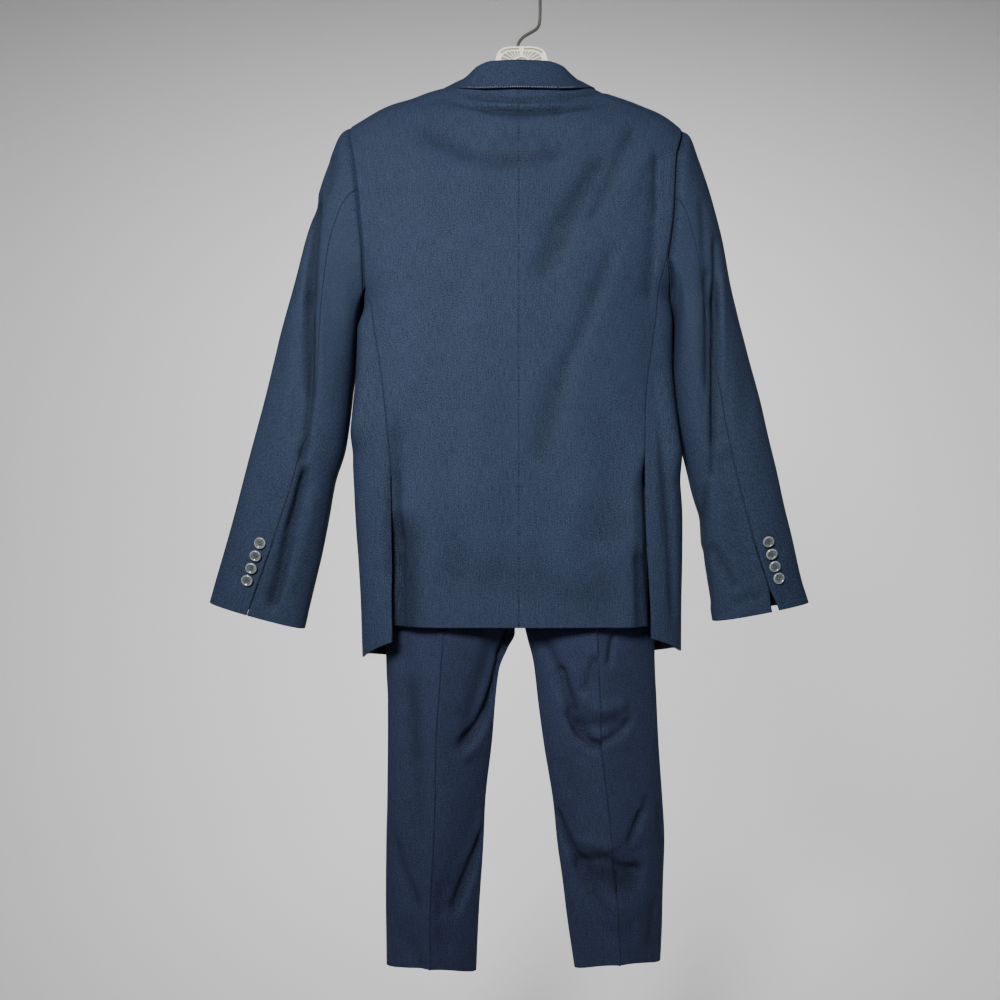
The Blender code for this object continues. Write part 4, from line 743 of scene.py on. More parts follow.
def collar_form(along, height):
    """Collar: along -1 left end, 0 centre back, 1 right end; height 0 neck seam, 1 outer edge."""
    rows = collar_rows()
    place = np.abs(along)
    corner = {
        name: np.stack(
            [along_table(rows, "along", name + axis, place) for axis in ("_x", "_y", "_z")], axis=-1
        )
        for name in ("base", "roll", "fall")
    }
    chord = corner["fall"] - corner["base"]
    middle = (corner["fall"] + corner["base"]) / 2
    rise = unit(corner["roll"] - middle)
    outward = unit(chord - (chord * rise).sum(-1, keepdims=True) * rise)
    centre = corner["roll"] - COLLAR_FOLD_RADIUS * rise
    fold_share = np.clip((height - COLLAR_STAND) / (COLLAR_FALL - COLLAR_STAND), 0, 1)
    turn = np.pi * fold_share[..., None]
    arc = centre + COLLAR_FOLD_RADIUS * (np.sin(turn) * rise - np.cos(turn) * outward)
    stand_share = np.clip(height / COLLAR_STAND, 0, 1)[..., None]
    stand = mix(corner["base"], centre - COLLAR_FOLD_RADIUS * outward, stand_share)
    fall_share = np.clip((height - COLLAR_FALL) / (1 - COLLAR_FALL), 0, 1)[..., None]
    fall = mix(centre + COLLAR_FOLD_RADIUS * outward, corner["fall"], fall_share)
    level = height[..., None]
    point = np.where(level < COLLAR_STAND, stand, np.where(level > COLLAR_FALL, fall, arc))
    shift = along_table(rows, "along", "right_shift", place) * stand_share[..., 0]
    side = np.where(along < 0, -1.0, 1.0)
    return side * point[..., 0] + np.where(along < 0, 0.0, shift), point[..., 1], point[..., 2]


# ---------------------------------------------------------------- pieces that lie on the fronts

def lapel_form(side, across, row):
    """Lapel: across 0 roll line, 1 outer edge; row 0 its low end, 1 the gorge."""
    inner_z = mix(LAPEL_LOW_Z[side], LAPEL_GORGE_Z, row)
    outer_z = mix(LAPEL_LOW_Z[side], LAPEL_NOTCH_Z, row)
    inner_x = along_table(FRONT_FREE_EDGE, "z", "x", inner_z)
    outer_x = inner_x + np.maximum(along_table(LAPEL_OUTER, "z", "x", outer_z) - inner_x, LAPEL_END)
    x = mix(inner_x, outer_x, across)
    z = mix(inner_z, outer_z, across)
    lift = LAY_GAP + JACKET_WALL + LAPEL_ROLL_LIFT * (1 - across) ** 3
    return SIDES[side] * x, front_y(side, x, z) + lift, z


def patch_form(side, in_x, out_x, top_z, height, slant, lift, across, row):
    """A pocket's flap or welt: across 0 its inner end, row 0 its lower edge."""
    x = mix(in_x, out_x, across)
    z = top_z - height * (1 - row) + slant * across
    return SIDES[side] * x, front_y(side, x, z) + lift + JACKET_WALL, z


# ---------------------------------------------------------------- finer folds, in the cloth alone

# A crease runs from one point to another with its middle bowed aside; a ridge has a depth below 0
Crease = namedtuple("Crease", "x z to_x to_z bow half_width depth")


def creases(*rows):
    """Creases from rows of millimetres."""
    return [Crease(*(value / MILLIMETRES for value in row)) for row in rows]


BACK_CREASES = creases(
    (-100.4, -172.6, 117.1, -172.1, -18.6, 4.3, 5.9), (-55.4, -189.1, 64.8, -188.9, -7.1, 6.3, 3.3),
    (-93.5, -154.8, 123.7, -147.3, -24.4, 3.5, 4.7), (47.6, -162.9, 105.4, -156.9, -0.9, 2.8, 1),
    (-93.9, -176.1, 104, -173.4, -11.2, 3, -0.9), (33.3, -177.1, 101.8, -168, -3.3, 2.3, 2),
    (37, -190.6, 111.5, -178.6, -3.9, 2.8, 2.2), (-85.2, -166.2, -23.8, -177.1, -1.4, 2.3, 1.6),
    (-134.1, -207.8, 81.7, -232.8, -35.3, 11.3, 4.4), (-23.8, -228.3, 46.7, -228.3, -2.5, 7.5, 1.6),
    (118.3, -234.5, 11, -424.2, -0, 16.3, 4.3), (154.1, -204.5, 84, -348.8, -2.6, 8.8, 3.5),
    (120, -248.6, 64.1, -351.1, 2.5, 6.3, -1.2), (169.7, -231.9, 124.4, -329.3, 0, 8.8, -1.4),
    (174.3, -237.7, 173.9, -338.3, 0, 3.3, 2.3), (174.8, -327.1, 166.1, -445.5, 1.9, 3.8, 1.2),
    (184.6, -234.4, 184.7, -328.9, 0, 2.8, 1.4), (183.6, -321.5, 180.1, -383.3, 0, 3, 0.8),
    (124.2, -350.8, 41.2, -555.5, 4.3, 11.3, 3.1), (52.8, -526.2, 25.2, -648.9, -2.5, 16.3, 2.8),
    (104.8, -559.1, 109.1, -759.8, 7.5, 27.6, 3.2), (-157.5, -565.5, -158.3, -810.4, 0, 11.3, 5.5),
    (-190, -181.9, -182.7, -265.8, 0, 5, 1), (-137.1, -190.9, -118.2, -244, 0, 12.5, 2),
    (-52.9, -434.7, -42.9, -709.7, 5, 30.1, -2.1), (-77.6, -597.6, -84.9, -810.1, 0, 20, 1.4),
    (74.6, -660.7, 58.1, -810.6, 0, 20, -1.6), (-112.4, -766, 150.3, -816.2, 0, 32.6, 3),
)
SIDE_CREASES = {
    "left": creases(
        (-199.2, -431.1, -206.8, -629.3, 3.3, 11.3, -8.2), (-182, -621.5, -178.2, -812, 0, 6.3, 1),
        (-167.1, -659.6, -164.5, -862.8, 0, 5, 1.2), (-192.4, -456.4, -194.9, -583.4, 0, 5, -0.7),
    ),
    "right": creases(
        (191.4, -411.8, 204.1, -667.1, -8, 11.3, -11.2),
        (181.1, -589.7, 196.4, -862.7, 1.9, 6.3, 4), (186.9, -431.1, 184.3, -532.7, 0, 7.6, 2.6),
        (173.1, -558, 174.4, -761.2, 0, 4.4, -1),
    ),
}
VENT_CREASES = {
    "left": creases(
        (-155.4, -691.2, -151.4, -954.2, 0.9, 26.3, 11),
    ),
    "right": creases(
        (163, -616.7, 173.8, -890.8, -2.7, 6.3, 10.9), (153.6, -735, 159.7, -895.3, 0, 11.3, 5.2),
    ),
}
SLEEVE_CREASES = {
    "left": creases(
        (-259, -284.3, -267.9, -447.7, -1.3, 6.8, 10.3),
        (-268.2, -409.2, -267, -562.4, 0.6, 6.6, 9.5),
        (-265.5, -535.9, -279.6, -649.5, 1.9, 5.8, 6.1),
        (-247.8, -321.2, -250.4, -557.4, -1.3, 6.3, -1.5),
        (-274.6, -365.9, -278.4, -557.4, 0, 6.3, -1),
        (-270.6, -634.5, -297.4, -732.8, 1.3, 5.3, 7.4),
        (-291.8, -713.8, -322.4, -833.8, 2.5, 6.6, 6.5),
        (-260.2, -660.4, -299.8, -813.6, 3.8, 8.8, -1.8),
        (-246.7, -762.3, -265.9, -847.8, 0, 7.6, 3.1),
        (-229.6, -365.9, -233.5, -582.9, 2.5, 11.3, 1.3),
        (-298.8, -468.6, -323, -647.3, 0, 12.6, 1.5), (-238, -238.6, -248.2, -302.5, 0, 7.6, 2.5),
    ),
    "right": creases(
        (250.8, -342.8, 251.4, -457.7, 0, 4.5, 4.2), (251.8, -391.4, 248.6, -627.6, 0, 5.5, 7.7),
        (248, -593.1, 248, -662, 0, 3.8, 3.5), (240.1, -381.2, 239.5, -562.4, 0, 5, 4.4),
        (261.8, -365.8, 261.2, -572.7, 0, 5, -1.4), (233.4, -291.7, 237.2, -432.2, 0, 6.3, 2.2),
        (239.8, -659.6, 233.4, -764.3, -1.3, 5.7, 3.3), (245.5, -739.9, 285.1, -805.1, 0, 7.6, 3.2),
        (236.8, -742.2, 249.6, -832.9, 0, 6.3, 2.9), (223.6, -429.6, 226.1, -633.9, 1.3, 7.6, -1.1),
        (270.5, -822.4, 319, -807.1, 0, 8.8, 2), (279, -429.4, 298.1, -608.1, 0, 11.3, 1.1),
    ),
}
LEG_CREASES = {
    "left": creases(
        (-17, -878.9, -80.9, -1009.4, 15.4, 9.4, 10.4),
        (-1.5, -842.5, -19.5, -896.2, 0, 10.1, 12.9), (-34.4, -958.2, -76.6, -1027.3, 5, 7.6, -2.1),
        (-30.4, -1103.6, -86.7, -1226.4, -3.8, 8.1, 8.9),
        (-28.6, -1134.1, -72.1, -1218.5, -2.5, 6.3, -1.8),
        (-144.2, -909.9, -136.5, -1037.8, 0, 8.8, 2.3),
        (-134.4, -902.3, -126.7, -1140.2, 0, 11.3, 2.6),
        (-162.5, -1111.9, -125.4, -1216.8, -3.8, 6.9, 3.9),
        (-155.3, -889.6, -152.8, -1017.5, 0, 5, -0.7),
        (-162.3, -1228.8, -118.8, -1291.5, 0, 10.1, 2.6),
        (-86.7, -1043.2, -89.2, -1132.7, 0, 11.3, -1.1),
        (-103.1, -1170.7, -92.9, -1273, 0, 10.1, 2.6),
    ),
    "right": creases(
        (53.8, -894.5, 71.8, -963.6, -1.9, 5.8, 5.7), (60, -951.5, 106, -1005.3, -6.3, 7.6, 7.9),
        (93.2, -997.4, 148.2, -961.6, -6.3, 5.8, 4.7), (98.8, -880.2, 79.6, -936.5, 0, 5.5, 4.2),
        (28.9, -858.8, 55.8, -915.1, 0, 6.9, 4), (88.9, -950.5, 142.6, -945.3, -2.5, 8.8, -3.5),
        (122, -848.9, 114.4, -900.1, 0, 3.5, 4.5), (45.5, -1083.9, 82.6, -1160.6, -3.1, 6, 6.7),
        (68.8, -1162.1, 121.2, -1142.9, 3.8, 5.8, 5),
        (110.2, -1142.4, 165.1, -1164.1, -1.9, 5.8, 5), (63, -1165.9, 167.9, -1168.5, 0, 23.9, 7.2),
        (65.5, -1123.9, 129.5, -1131.6, 1.3, 7.6, -2.1),
        (129.4, -1133.3, 162.6, -1148.6, 0, 5, -1.1), (161.7, -1080, 139.9, -1131.2, 0, 5.8, 4.7),
        (170.3, -1063.2, 151.1, -1111.7, 0, 5, 2), (183.4, -1068.6, 188.6, -1142.7, 0, 5, 2.6),
        (91.2, -1186.4, 113, -1222.2, 0, 7.6, 2.1), (178.4, -1196.8, 170.7, -1269.7, 0, 7.6, 3.1),
        (53.9, -1017.2, 73.1, -1068.3, 0, 10.1, 1.4), (144.4, -991.5, 157.2, -1055.5, 0, 10.1, 1.2),
        (103.7, -1231.5, 154.9, -1237.9, 0, 15.1, 2.6),
    ),
}
FRONT_CREASES = creases(
    (-150, -230, -100, -360, 4, 10, 2.7), (156, -235, 115, -350, -4, 10, 2.7),
    (-20, -505, -130, -460, 6, 8, 2.7), (25, -508, 130, -470, -6, 8, 2.1),
    (-145, -520, -140, -860, 4, 12, 2.4), (140, -540, 146, -870, 4, 12, 2.4),
)
LEG_FRONT_CREASES = {
    "left": creases(
        (-30, -870, -80, -970, 4, 10, 4.5), (-148, -900, -142, -1230, 0, 11, 2.7),
        (-56, -1110, -98, -1190, 3, 9, 3.6),
    ),
    "right": creases(
        (42, -890, 90, -980, -4, 10, 4.5), (152, -920, 158, -1220, 0, 11, 2.7),
        (64, -1100, 96, -1180, -3, 9, 3.6),
    ),
}
CREASE_TAPER = 0.18
# The cloth's ripple: its waves, their lengths, and how far they lean
RIPPLE_WAVES = 7
RIPPLE_SHORT = 0.045
RIPPLE_LONG = 0.17
RIPPLE_LEAN = 0.45
# A pressed crease: half a leg's width to reckon it by, the rows over which it fades out at the
# waist, its own ridge, and the groove beside it
PRESSED_ACROSS = 0.15
PRESSED_FADE = (0.1, 0.4)
PRESSED_CREASE_WIDTH = 0.002
PRESSED_CREASE_HEIGHT = 0.0012
PRESSED_GROOVE_ASIDE = 0.0024
PRESSED_GROOVE_WIDTH = 0.0013
PRESSED_GROOVE_DEPTH = 0.0006
# How deep and how wide the sleeve's valley beside the armhole is
ARMHOLE_SINK = {"left": 0.0032, "right": 0.0052}
ARMHOLE_ROLL = {"left": 0.0024, "right": 0.0046}

# Distances from a border at which the cloth has a row of points, so that its edge is round
BORDER_STEPS = (0.0, 0.00015, 0.0004, 0.0009, 0.0016, 0.0025, 0.0037)
# Distances either side of a pressed crease at which the cloth has a row of points
SHARP_STEPS = (0.0, 0.0007, 0.0014, 0.0021, 0.0029, 0.0039, 0.0054)
# The part of a panel's length that its close rows may take up at either end
BORDER_SHARE = 0.4
EDGE_ROUND = 0.0009
EDGE_LEAST = 0.04
# Depths of a fold at which its painted shade starts and is fullest, how full that is, and how
# strong the painted shade along a seam is
FOLD_SHADE_DEPTHS = (0.0006, 0.009)
FOLD_SHADE = 0.55
SEAM_SHADE = 0.55
# Panels reach a little past their seams, and the halves of a leg stop just short of each other
CLOTH_GAP = -0.0002
CLOSED_SEAM = 0.00003
MEASURE_STEPS = 500
MEASURE_LINES = 5


def crease_depth(creases, x, z):
    """How far the creases push the cloth in, for x and z of the whole suit."""
    pushed = np.zeros(np.broadcast(x, z).shape)
    for crease in creases:
        run = np.array([crease.to_x - crease.x, crease.to_z - crease.z])
        length = np.hypot(*run)
        way = run / length
        along = (x - crease.x) * way[0] + (z - crease.z) * way[1]
        share = np.clip(along / length, 0, 1)
        beyond = along - share * length
        bowed = crease.bow * 4 * share * (1 - share)
        aside = (z - crease.z) * way[0] - (x - crease.x) * way[1] - bowed
        taper = ramp(share, 0, CREASE_TAPER) * ramp(1 - share, 0, CREASE_TAPER)
        near = np.exp(-(aside**2 + beyond**2) / crease.half_width**2)
        pushed = pushed + crease.depth * taper * near
    return pushed


def ripple(x, z, height, seed):
    """A gentle unevenness of hanging cloth, from a few long waves that mostly run down it."""
    draw = np.random.default_rng(seed)
    total = np.zeros(np.broadcast(x, z).shape)
    for _ in range(RIPPLE_WAVES):
        wave = draw.uniform(RIPPLE_SHORT, RIPPLE_LONG)
        lean = draw.uniform(-RIPPLE_LEAN, RIPPLE_LEAN)
        start = draw.uniform(0, 2 * math.pi)
        way = x * math.cos(lean) + z * math.sin(lean)
        total = total + np.sin(2 * math.pi * way / wave + start)
    return height * (0.5 + total / RIPPLE_WAVES)


# ---------------------------------------------------------------- cloth panels

def measured_places(form, first, last, other, step, turned, sharp=()):
    """Values from first to last that lie a step apart on the cloth, and closer at both borders."""
    sample = np.linspace(first, last, MEASURE_STEPS)
    lines = np.linspace(other[0], other[1], MEASURE_LINES)
    along, beside = np.meshgrid(sample, lines, indexing="ij")
    point = np.stack(form(beside, along) if turned else form(along, beside), axis=-1)
    run = np.linalg.norm(np.diff(point, axis=0), axis=-1).mean(axis=1)
    reach = np.concatenate([[0], np.cumsum(run)])
    border = np.array([place for place in BORDER_STEPS if place < BORDER_SHARE * reach[-1]])
    middle_length = reach[-1] - 2 * border[-1]
    count = max(2, round(middle_length / step))
    middle = border[-1] + middle_length * np.arange(1, count) / count
    for value in sharp:
        centre = np.interp(value, sample, reach)
        close = centre + np.array([-away for away in SHARP_STEPS[1:]] + list(SHARP_STEPS))
        middle = middle[np.abs(middle - centre) > SHARP_STEPS[-1] + step / 3]
        middle = np.sort(np.concatenate([middle, close]))
    wanted = np.concatenate([border, middle, reach[-1] - border[::-1]])
    return np.interp(wanted, reach, sample)


def lengths_along(points, axis):
    """Distance of each point from the first one in its line."""
    run = np.linalg.norm(np.diff(points, axis=axis), axis=-1)
    start = np.zeros_like(np.take(run, [0], axis=axis))
    return np.concatenate([start, np.cumsum(run, axis=axis)], axis=axis)


def grid_normals(points, outward):
    """The way the cloth faces at each point of its grid; outward is -1 to turn it round."""
    across = np.gradient(points, axis=0)
    down = np.gradient(points, axis=1)
    return outward * unit(np.cross(unit(across), unit(down)))


def border_distances(points):
    """Each point's distance from the four borders: low and high across, low and high row."""
    across = lengths_along(points, 0)
    row = lengths_along(points, 1)
    return across, across[-1:] - across, row, row[:, -1:] - row


def pulled_back(points, gap):
    """The panel with its borders drawn in by half a seam's gap."""
    points = points.copy()
    points[0] += unit(points[1] - points[0]) * gap / 2
    points[-1] += unit(points[-2] - points[-1]) * gap / 2
    points[:, 0] += unit(points[:, 1] - points[:, 0]) * gap / 2
    points[:, -1] += unit(points[:, -2] - points[:, -1]) * gap / 2
    return points


# A panel of cloth: seams holds the strength of the seam at each border, 0 where the edge is free
UNIT = (0.0, 1.0)
Panel = namedtuple(
    "Panel", "form outward wall seams relief columns rows face sharp", defaults=(UNIT, UNIT, 0, ())
)


def panel_layers(panel, sizes, step):
    """The outer and inner points of a cloth panel, and where each lies on the flat cloth."""
    columns = measured_places(panel.form, *panel.columns, panel.rows, step, False, panel.sharp)
    rows = measured_places(panel.form, *panel.rows, panel.columns, step, True)
    across, row = np.meshgrid(columns, rows, indexing="ij")
    outer = pulled_back(np.stack(panel.form(across, row), axis=-1), CLOTH_GAP)
    normal = grid_normals(outer, panel.outward)
    distances = border_distances(outer)
    sunk = panel.relief(across, row, outer)
    # edge is painted shade: the cloth colour is darkened in deep folds and, below, along the seams
    edge = FOLD_SHADE * ramp(sunk, *FOLD_SHADE_DEPTHS)
    for distance, strength in zip(distances, panel.seams):
        near = np.clip(1 - distance / sizes.seam_roll, 0, 1)
        sunk = sunk + strength * sizes.seam_sink * near**2
        shade = SEAM_SHADE * strength * np.clip(1 - distance / sizes.seam_shade, 0, 1)
        edge = np.maximum(edge, shade)
    outer = outer - sunk[..., None] * normal
    normal = grid_normals(outer, panel.outward)
    free = [d for d, strength in zip(distances, panel.seams) if not strength]
    nearest = np.minimum.reduce([np.full(sunk.shape, 1.0)] + free)
    rounded = 1 - (1 - np.clip(nearest / EDGE_ROUND, 0, 1)) ** 2
    rounded = np.sqrt(np.clip(rounded, EDGE_LEAST, 1))
    drawn_in = panel.wall * (1 - rounded) / 2
    inner = outer - (panel.wall - drawn_in)[..., None] * normal
    outer = outer - drawn_in[..., None] * normal
    if panel.face:
        for layer in (outer, inner):
            layer[..., 1] = panel.face * np.maximum(panel.face * layer[..., 1], CLOSED_SEAM)
    flat = np.stack([distances[0], distances[2]], axis=-1)
    return outer, inner, flat, edge


def panel_mesh(name, outer, inner, flat, edge):
    """A flat grid extruded to a slab, whose points then take their places on the two layers."""
    column_count, row_count = outer.shape[:2]
    bm = bmesh.new()
    bmesh.ops.create_grid(bm, x_segments=column_count - 1, y_segments=row_count - 1, size=0.5)
    made = bmesh.ops.extrude_face_region(bm, geom=bm.faces[:])
    second = [item for item in made["geom"] if isinstance(item, bmesh.types.BMVert)]
    bmesh.ops.translate(bm, verts=second, vec=(0, 0, 1))
    bmesh.ops.recalc_face_normals(bm, faces=bm.faces[:])
    mesh = bpy.data.meshes.new(name)
    bm.to_mesh(mesh)
    bm.free()
    count = len(mesh.vertices)
    grid = np.empty(count * 3, np.float32)
    mesh.vertices.foreach_get("co", grid)
    grid = grid.reshape(-1, 3)
    column = np.rint((grid[:, 0] + 0.5) * (column_count - 1)).astype(int)
    row = np.rint((grid[:, 1] + 0.5) * (row_count - 1)).astype(int)
    is_inner = grid[:, 2] > 0.5
    place = np.where(is_inner[:, None], inner[column, row], outer[column, row])
    mesh.vertices.foreach_set("co", place.astype(np.float32).ravel())
    corner = np.empty(len(mesh.loops), np.int32)
    mesh.loops.foreach_get("vertex_index", corner)
    cloth_map = mesh.uv_layers.new(name="cloth")
    cloth_map.data.foreach_set("uv", flat[column, row][corner].astype(np.float32).ravel())
    # The 'seam' attribute carries the painted shade of folds and seams into the cloth's colour
    shade = mesh.attributes.new("seam", "FLOAT", "POINT")
    shade.data.foreach_set("value", edge[column, row].astype(np.float32))
    lined = is_inner[corner].reshape(-1, 4).all(axis=1)
    mesh.polygons.foreach_set("material_index", lined.astype(np.int32))
    mesh.update()
    return outward_mesh(mesh)


def outward_mesh(mesh):
    """Turns the faces of a closed mesh outward, and shades it smooth."""
    bm = bmesh.new()
    bm.from_mesh(mesh)
    if bm.calc_volume(signed=True) < 0:
        bmesh.ops.reverse_faces(bm, faces=bm.faces[:])
    bm.to_mesh(mesh)
    bm.free()
    mesh.shade_smooth()
    return mesh


def add_piece(name, mesh, materials, nodes):
    """Links a finished piece, which rides on the suit's body and stands for these solids."""
    for finish in materials:
        mesh.materials.append(finish)
    made = bpy.data.objects.new(name, mesh)
    bpy.context.scene.collection.objects.link(made)
    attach(made, BODY_NAME)
    if nodes:
        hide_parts(*nodes)
    return made


def add_cloth(node, panel, materials, hidden):
    """A cloth panel in place of its solid."""
    sizes = bpy.context.scene.suit_sizes
    step = sizes.hidden_step if hidden else sizes.cloth_step
    outer, inner, flat, edge = panel_layers(panel, sizes, step)
    mesh = panel_mesh(node + "_cloth", outer, inner, flat, edge)
    made = add_piece(node + "_cloth", mesh, materials, [node])


# ---------------------------------------------------------------- materials

# Patterns of the worsted: how fine each one is across and down the cloth, and its detail
SLUB_NOISE = (900.0, 55.0, 2.0)
GRAIN_NOISE = (950.0, 620.0, 1.0)
DYE_NOISE = (16.0, 9.0, 2.0)
NOISE_ROUGHNESS = 0.6
TWILL_SLOPE = 0.62
TWILL_WAVES = 7400.0
TWILL_HEIGHT = 0.3
GRAIN_WEIGHT = 1.7
DYE_WEIGHT = 0.15
TWILL_WEIGHT = 0.06
SEAM_AND_FOLD_PAINTED_SHADE = 0.55
DARK_ROUGHNESS = 0.82
LIGHT_ROUGHNESS_CHANGE = -0.12
SPECKLE_DETAIL = 4.0
# How far the worsted's dark and light tones lie from its colour
CLOTH_DARKER = 0.78
CLOTH_LIGHTER = 1.1
CLOTH_BUMP = (0.35, 0.0002)
CLOTH_SHEEN_TINT = 4.0
WRONG_SIDE_TONE = 0.55

# Hard finishes: tone contrast, speckles in a metre, roughness range, bump and further values
HardFinish = namedtuple("HardFinish", "contrast across rough bump shader_values")
LINING = HardFinish(
    0.25, 900.0, (0.4, 0.6), (0.2, 0.0002), {"Sheen Weight": 0.05, "Specular IOR Level": 0.3}
)
HORN = HardFinish(
    0.6, 260.0, (0.1, 0.26), (0.05, 0.0001),
    {"Specular IOR Level": 0.7, "Coat Weight": 0.8, "Coat Roughness": 0.08},
)
PLASTIC = HardFinish(0.06, 160.0, (0.34, 0.5), (0.08, 0.0002), {"Specular IOR Level": 0.45})
STEEL = HardFinish(0.2, 500.0, (0.25, 0.42), (0.1, 0.0001), {"Metallic": 0.85})
THREAD = HardFinish(0.18, 2500.0, (0.6, 0.8), (0.3, 0.0002), {"Sheen Weight": 0.1})


def new_group(name, *numbers):
    """A shader node group that takes a place, two colours and these numbers, and gives a finish."""
    group = bpy.data.node_groups.new(name, "ShaderNodeTree")
    taken = [("Place", "Vector"), ("Dark", "Color"), ("Light", "Color")]
    taken += [(label, "Float") for label in numbers]
    given = [("Colour", "Color"), ("Roughness", "Float"), ("Height", "Float")]
    for way, sockets in (("INPUT", taken), ("OUTPUT", given)):
        for label, kind in sockets:
            group.interface.new_socket(name=label, in_out=way, socket_type="NodeSocket" + kind)
    nodes = group.nodes
    return group, nodes, group.links, nodes.new("NodeGroupInput"), nodes.new("NodeGroupOutput")


def math_node(nodes, links, operation, first, second=0.0):
    """The result of a calculation with two numbers, each a value or another node's output."""
    made = nodes.new("ShaderNodeMath")
    made.operation = operation
    for socket, value in zip(made.inputs, (first, second)):
        if isinstance(value, float):
            socket.default_value = value
        else:
            links.new(value, socket)
    return made.outputs[0]


def blend_colours(nodes, links, share, taken, given):
    """Gives the dark colour where the share is 0 and the light one where it is 1."""
    blend = nodes.new("ShaderNodeMix")
    blend.data_type = "RGBA"
    links.new(share, blend.inputs["Factor"])
    links.new(taken.outputs["Dark"], blend.inputs["A"])
    links.new(taken.outputs["Light"], blend.inputs["B"])
    links.new(blend.outputs["Result"], given.inputs["Colour"])


def stretched_noise(nodes, links, place, across, down, detail):
    """Noise that is finer across the cloth than down it, from its places in metres."""
    scaled = nodes.new("ShaderNodeVectorMath")
    scaled.operation = "MULTIPLY"
    scaled.inputs[1].default_value = (across, down, 1.0)
    links.new(place, scaled.inputs[0])
    noise = nodes.new("ShaderNodeTexNoise")
    noise.noise_dimensions = "2D"
    noise.inputs["Scale"].default_value = 1.0
    noise.inputs["Detail"].default_value = detail
    noise.inputs["Roughness"].default_value = NOISE_ROUGHNESS
    links.new(scaled.outputs[0], noise.inputs["Vector"])
    return noise.outputs["Fac"]


def worsted_group():
    """Two-tone worsted twill: fine slubs down the warp, a diagonal rib and slow uneven dye, with
    painted shade from its Seam input along seams and in folds.
    """
    group, nodes, links, taken, given = new_group("worsted_group", "Slub", "Seam")
    calc = partial(math_node, nodes, links)
    place = taken.outputs["Place"]
    slub, grain, dye = (
        stretched_noise(nodes, links, place, *fineness)
        for fineness in (SLUB_NOISE, GRAIN_NOISE, DYE_NOISE)
    )
    split = nodes.new("ShaderNodeSeparateXYZ")
    links.new(place, split.inputs[0])
    slope = calc("MULTIPLY", split.outputs["Y"], TWILL_SLOPE)
    diagonal = calc("ADD", split.outputs["X"], slope)
    rib = calc("SINE", calc("MULTIPLY", diagonal, TWILL_WAVES))
    total = calc("MULTIPLY", calc("SUBTRACT", slub, 0.5), taken.outputs["Slub"])
    for part, weight in (
        (calc("SUBTRACT", grain, 0.5), GRAIN_WEIGHT), (calc("SUBTRACT", dye, 0.5), DYE_WEIGHT),
        (rib, TWILL_WEIGHT),
    ):
        total = calc("ADD", total, calc("MULTIPLY", part, weight))
    total = calc("ADD", total, 0.5)
    # The Seam input is painted shade along seams and in deep folds, taken off the cloth's tone
    seam = calc("MULTIPLY", taken.outputs["Seam"], SEAM_AND_FOLD_PAINTED_SHADE)
    share = nodes.new("ShaderNodeClamp")
    links.new(calc("SUBTRACT", total, seam), share.inputs["Value"])
    blend_colours(nodes, links, share.outputs[0], taken, given)
    rough = calc("MULTIPLY", share.outputs[0], LIGHT_ROUGHNESS_CHANGE)
    links.new(calc("ADD", rough, DARK_ROUGHNESS), given.inputs["Roughness"])
    links.new(calc("ADD", calc("MULTIPLY", rib, TWILL_HEIGHT), grain), given.inputs["Height"])
    return group


def speckle_group():
    """Uneven tone and tiny dents for a hard surface: plastic, horn, steel or a smooth lining."""
    group, nodes, links, taken, given = new_group(
        "speckle_group", "Across", "Rough Low", "Rough High"
    )
    scaled = nodes.new("ShaderNodeVectorMath")
    scaled.operation = "SCALE"
    links.new(taken.outputs["Place"], scaled.inputs[0])
    links.new(taken.outputs["Across"], scaled.inputs["Scale"])
    noise = nodes.new("ShaderNodeTexNoise")
    noise.inputs["Scale"].default_value = 1.0
    noise.inputs["Detail"].default_value = SPECKLE_DETAIL
    links.new(scaled.outputs[0], noise.inputs["Vector"])
    blend_colours(nodes, links, noise.outputs["Fac"], taken, given)
    rough = nodes.new("ShaderNodeMapRange")
    links.new(noise.outputs["Fac"], rough.inputs["Value"])
    links.new(taken.outputs["Rough Low"], rough.inputs["To Min"])
    links.new(taken.outputs["Rough High"], rough.inputs["To Max"])
    links.new(rough.outputs[0], given.inputs["Roughness"])
    links.new(noise.outputs["Fac"], given.inputs["Height"])
    return group


def scaled_colour(colour, factor):
    """The colour made lighter or darker, with an alpha of 1."""
    return (*(min(1.0, part * factor) for part in colour[:3]), 1.0)


def finish_material(name, maker, place, values, bump, shader_values):
    """A material whose colour, roughness and bump come from a group that reads the given place."""
    if name in bpy.data.materials:
        return bpy.data.materials[name]
    made = bpy.data.materials.new(name)
    made.use_nodes = True
    nodes, links = made.node_tree.nodes, made.node_tree.links
    shader = nodes["Principled BSDF"]
    pattern = nodes.new("ShaderNodeGroup")
    pattern.node_tree = bpy.data.node_groups.get(maker.__name__) or maker()
    for label, value in values.items():
        pattern.inputs[label].default_value = value
    if place == "UV":
        spread = nodes.new("ShaderNodeUVMap")
        spread.uv_map = "cloth"
        links.new(spread.outputs["UV"], pattern.inputs["Place"])
        # The 'seam' attribute is painted shade along seams and in folds, fed to the pattern's Seam
        # input
        seam = nodes.new("ShaderNodeAttribute")
        seam.attribute_name = "seam"
        links.new(seam.outputs["Fac"], pattern.inputs["Seam"])
    else:
        spread = nodes.new("ShaderNodeTexCoord")
        links.new(spread.outputs["Object"], pattern.inputs["Place"])
    links.new(pattern.outputs["Colour"], shader.inputs["Base Color"])
    links.new(pattern.outputs["Roughness"], shader.inputs["Roughness"])
    raised = nodes.new("ShaderNodeBump")
    raised.inputs["Strength"].default_value = bump[0]
    raised.inputs["Distance"].default_value = bump[1]
    links.new(pattern.outputs["Height"], raised.inputs["Height"])
    links.new(raised.outputs["Normal"], shader.inputs["Normal"])
    for label, value in shader_values.items():
        shader.inputs[label].default_value = value
    return made


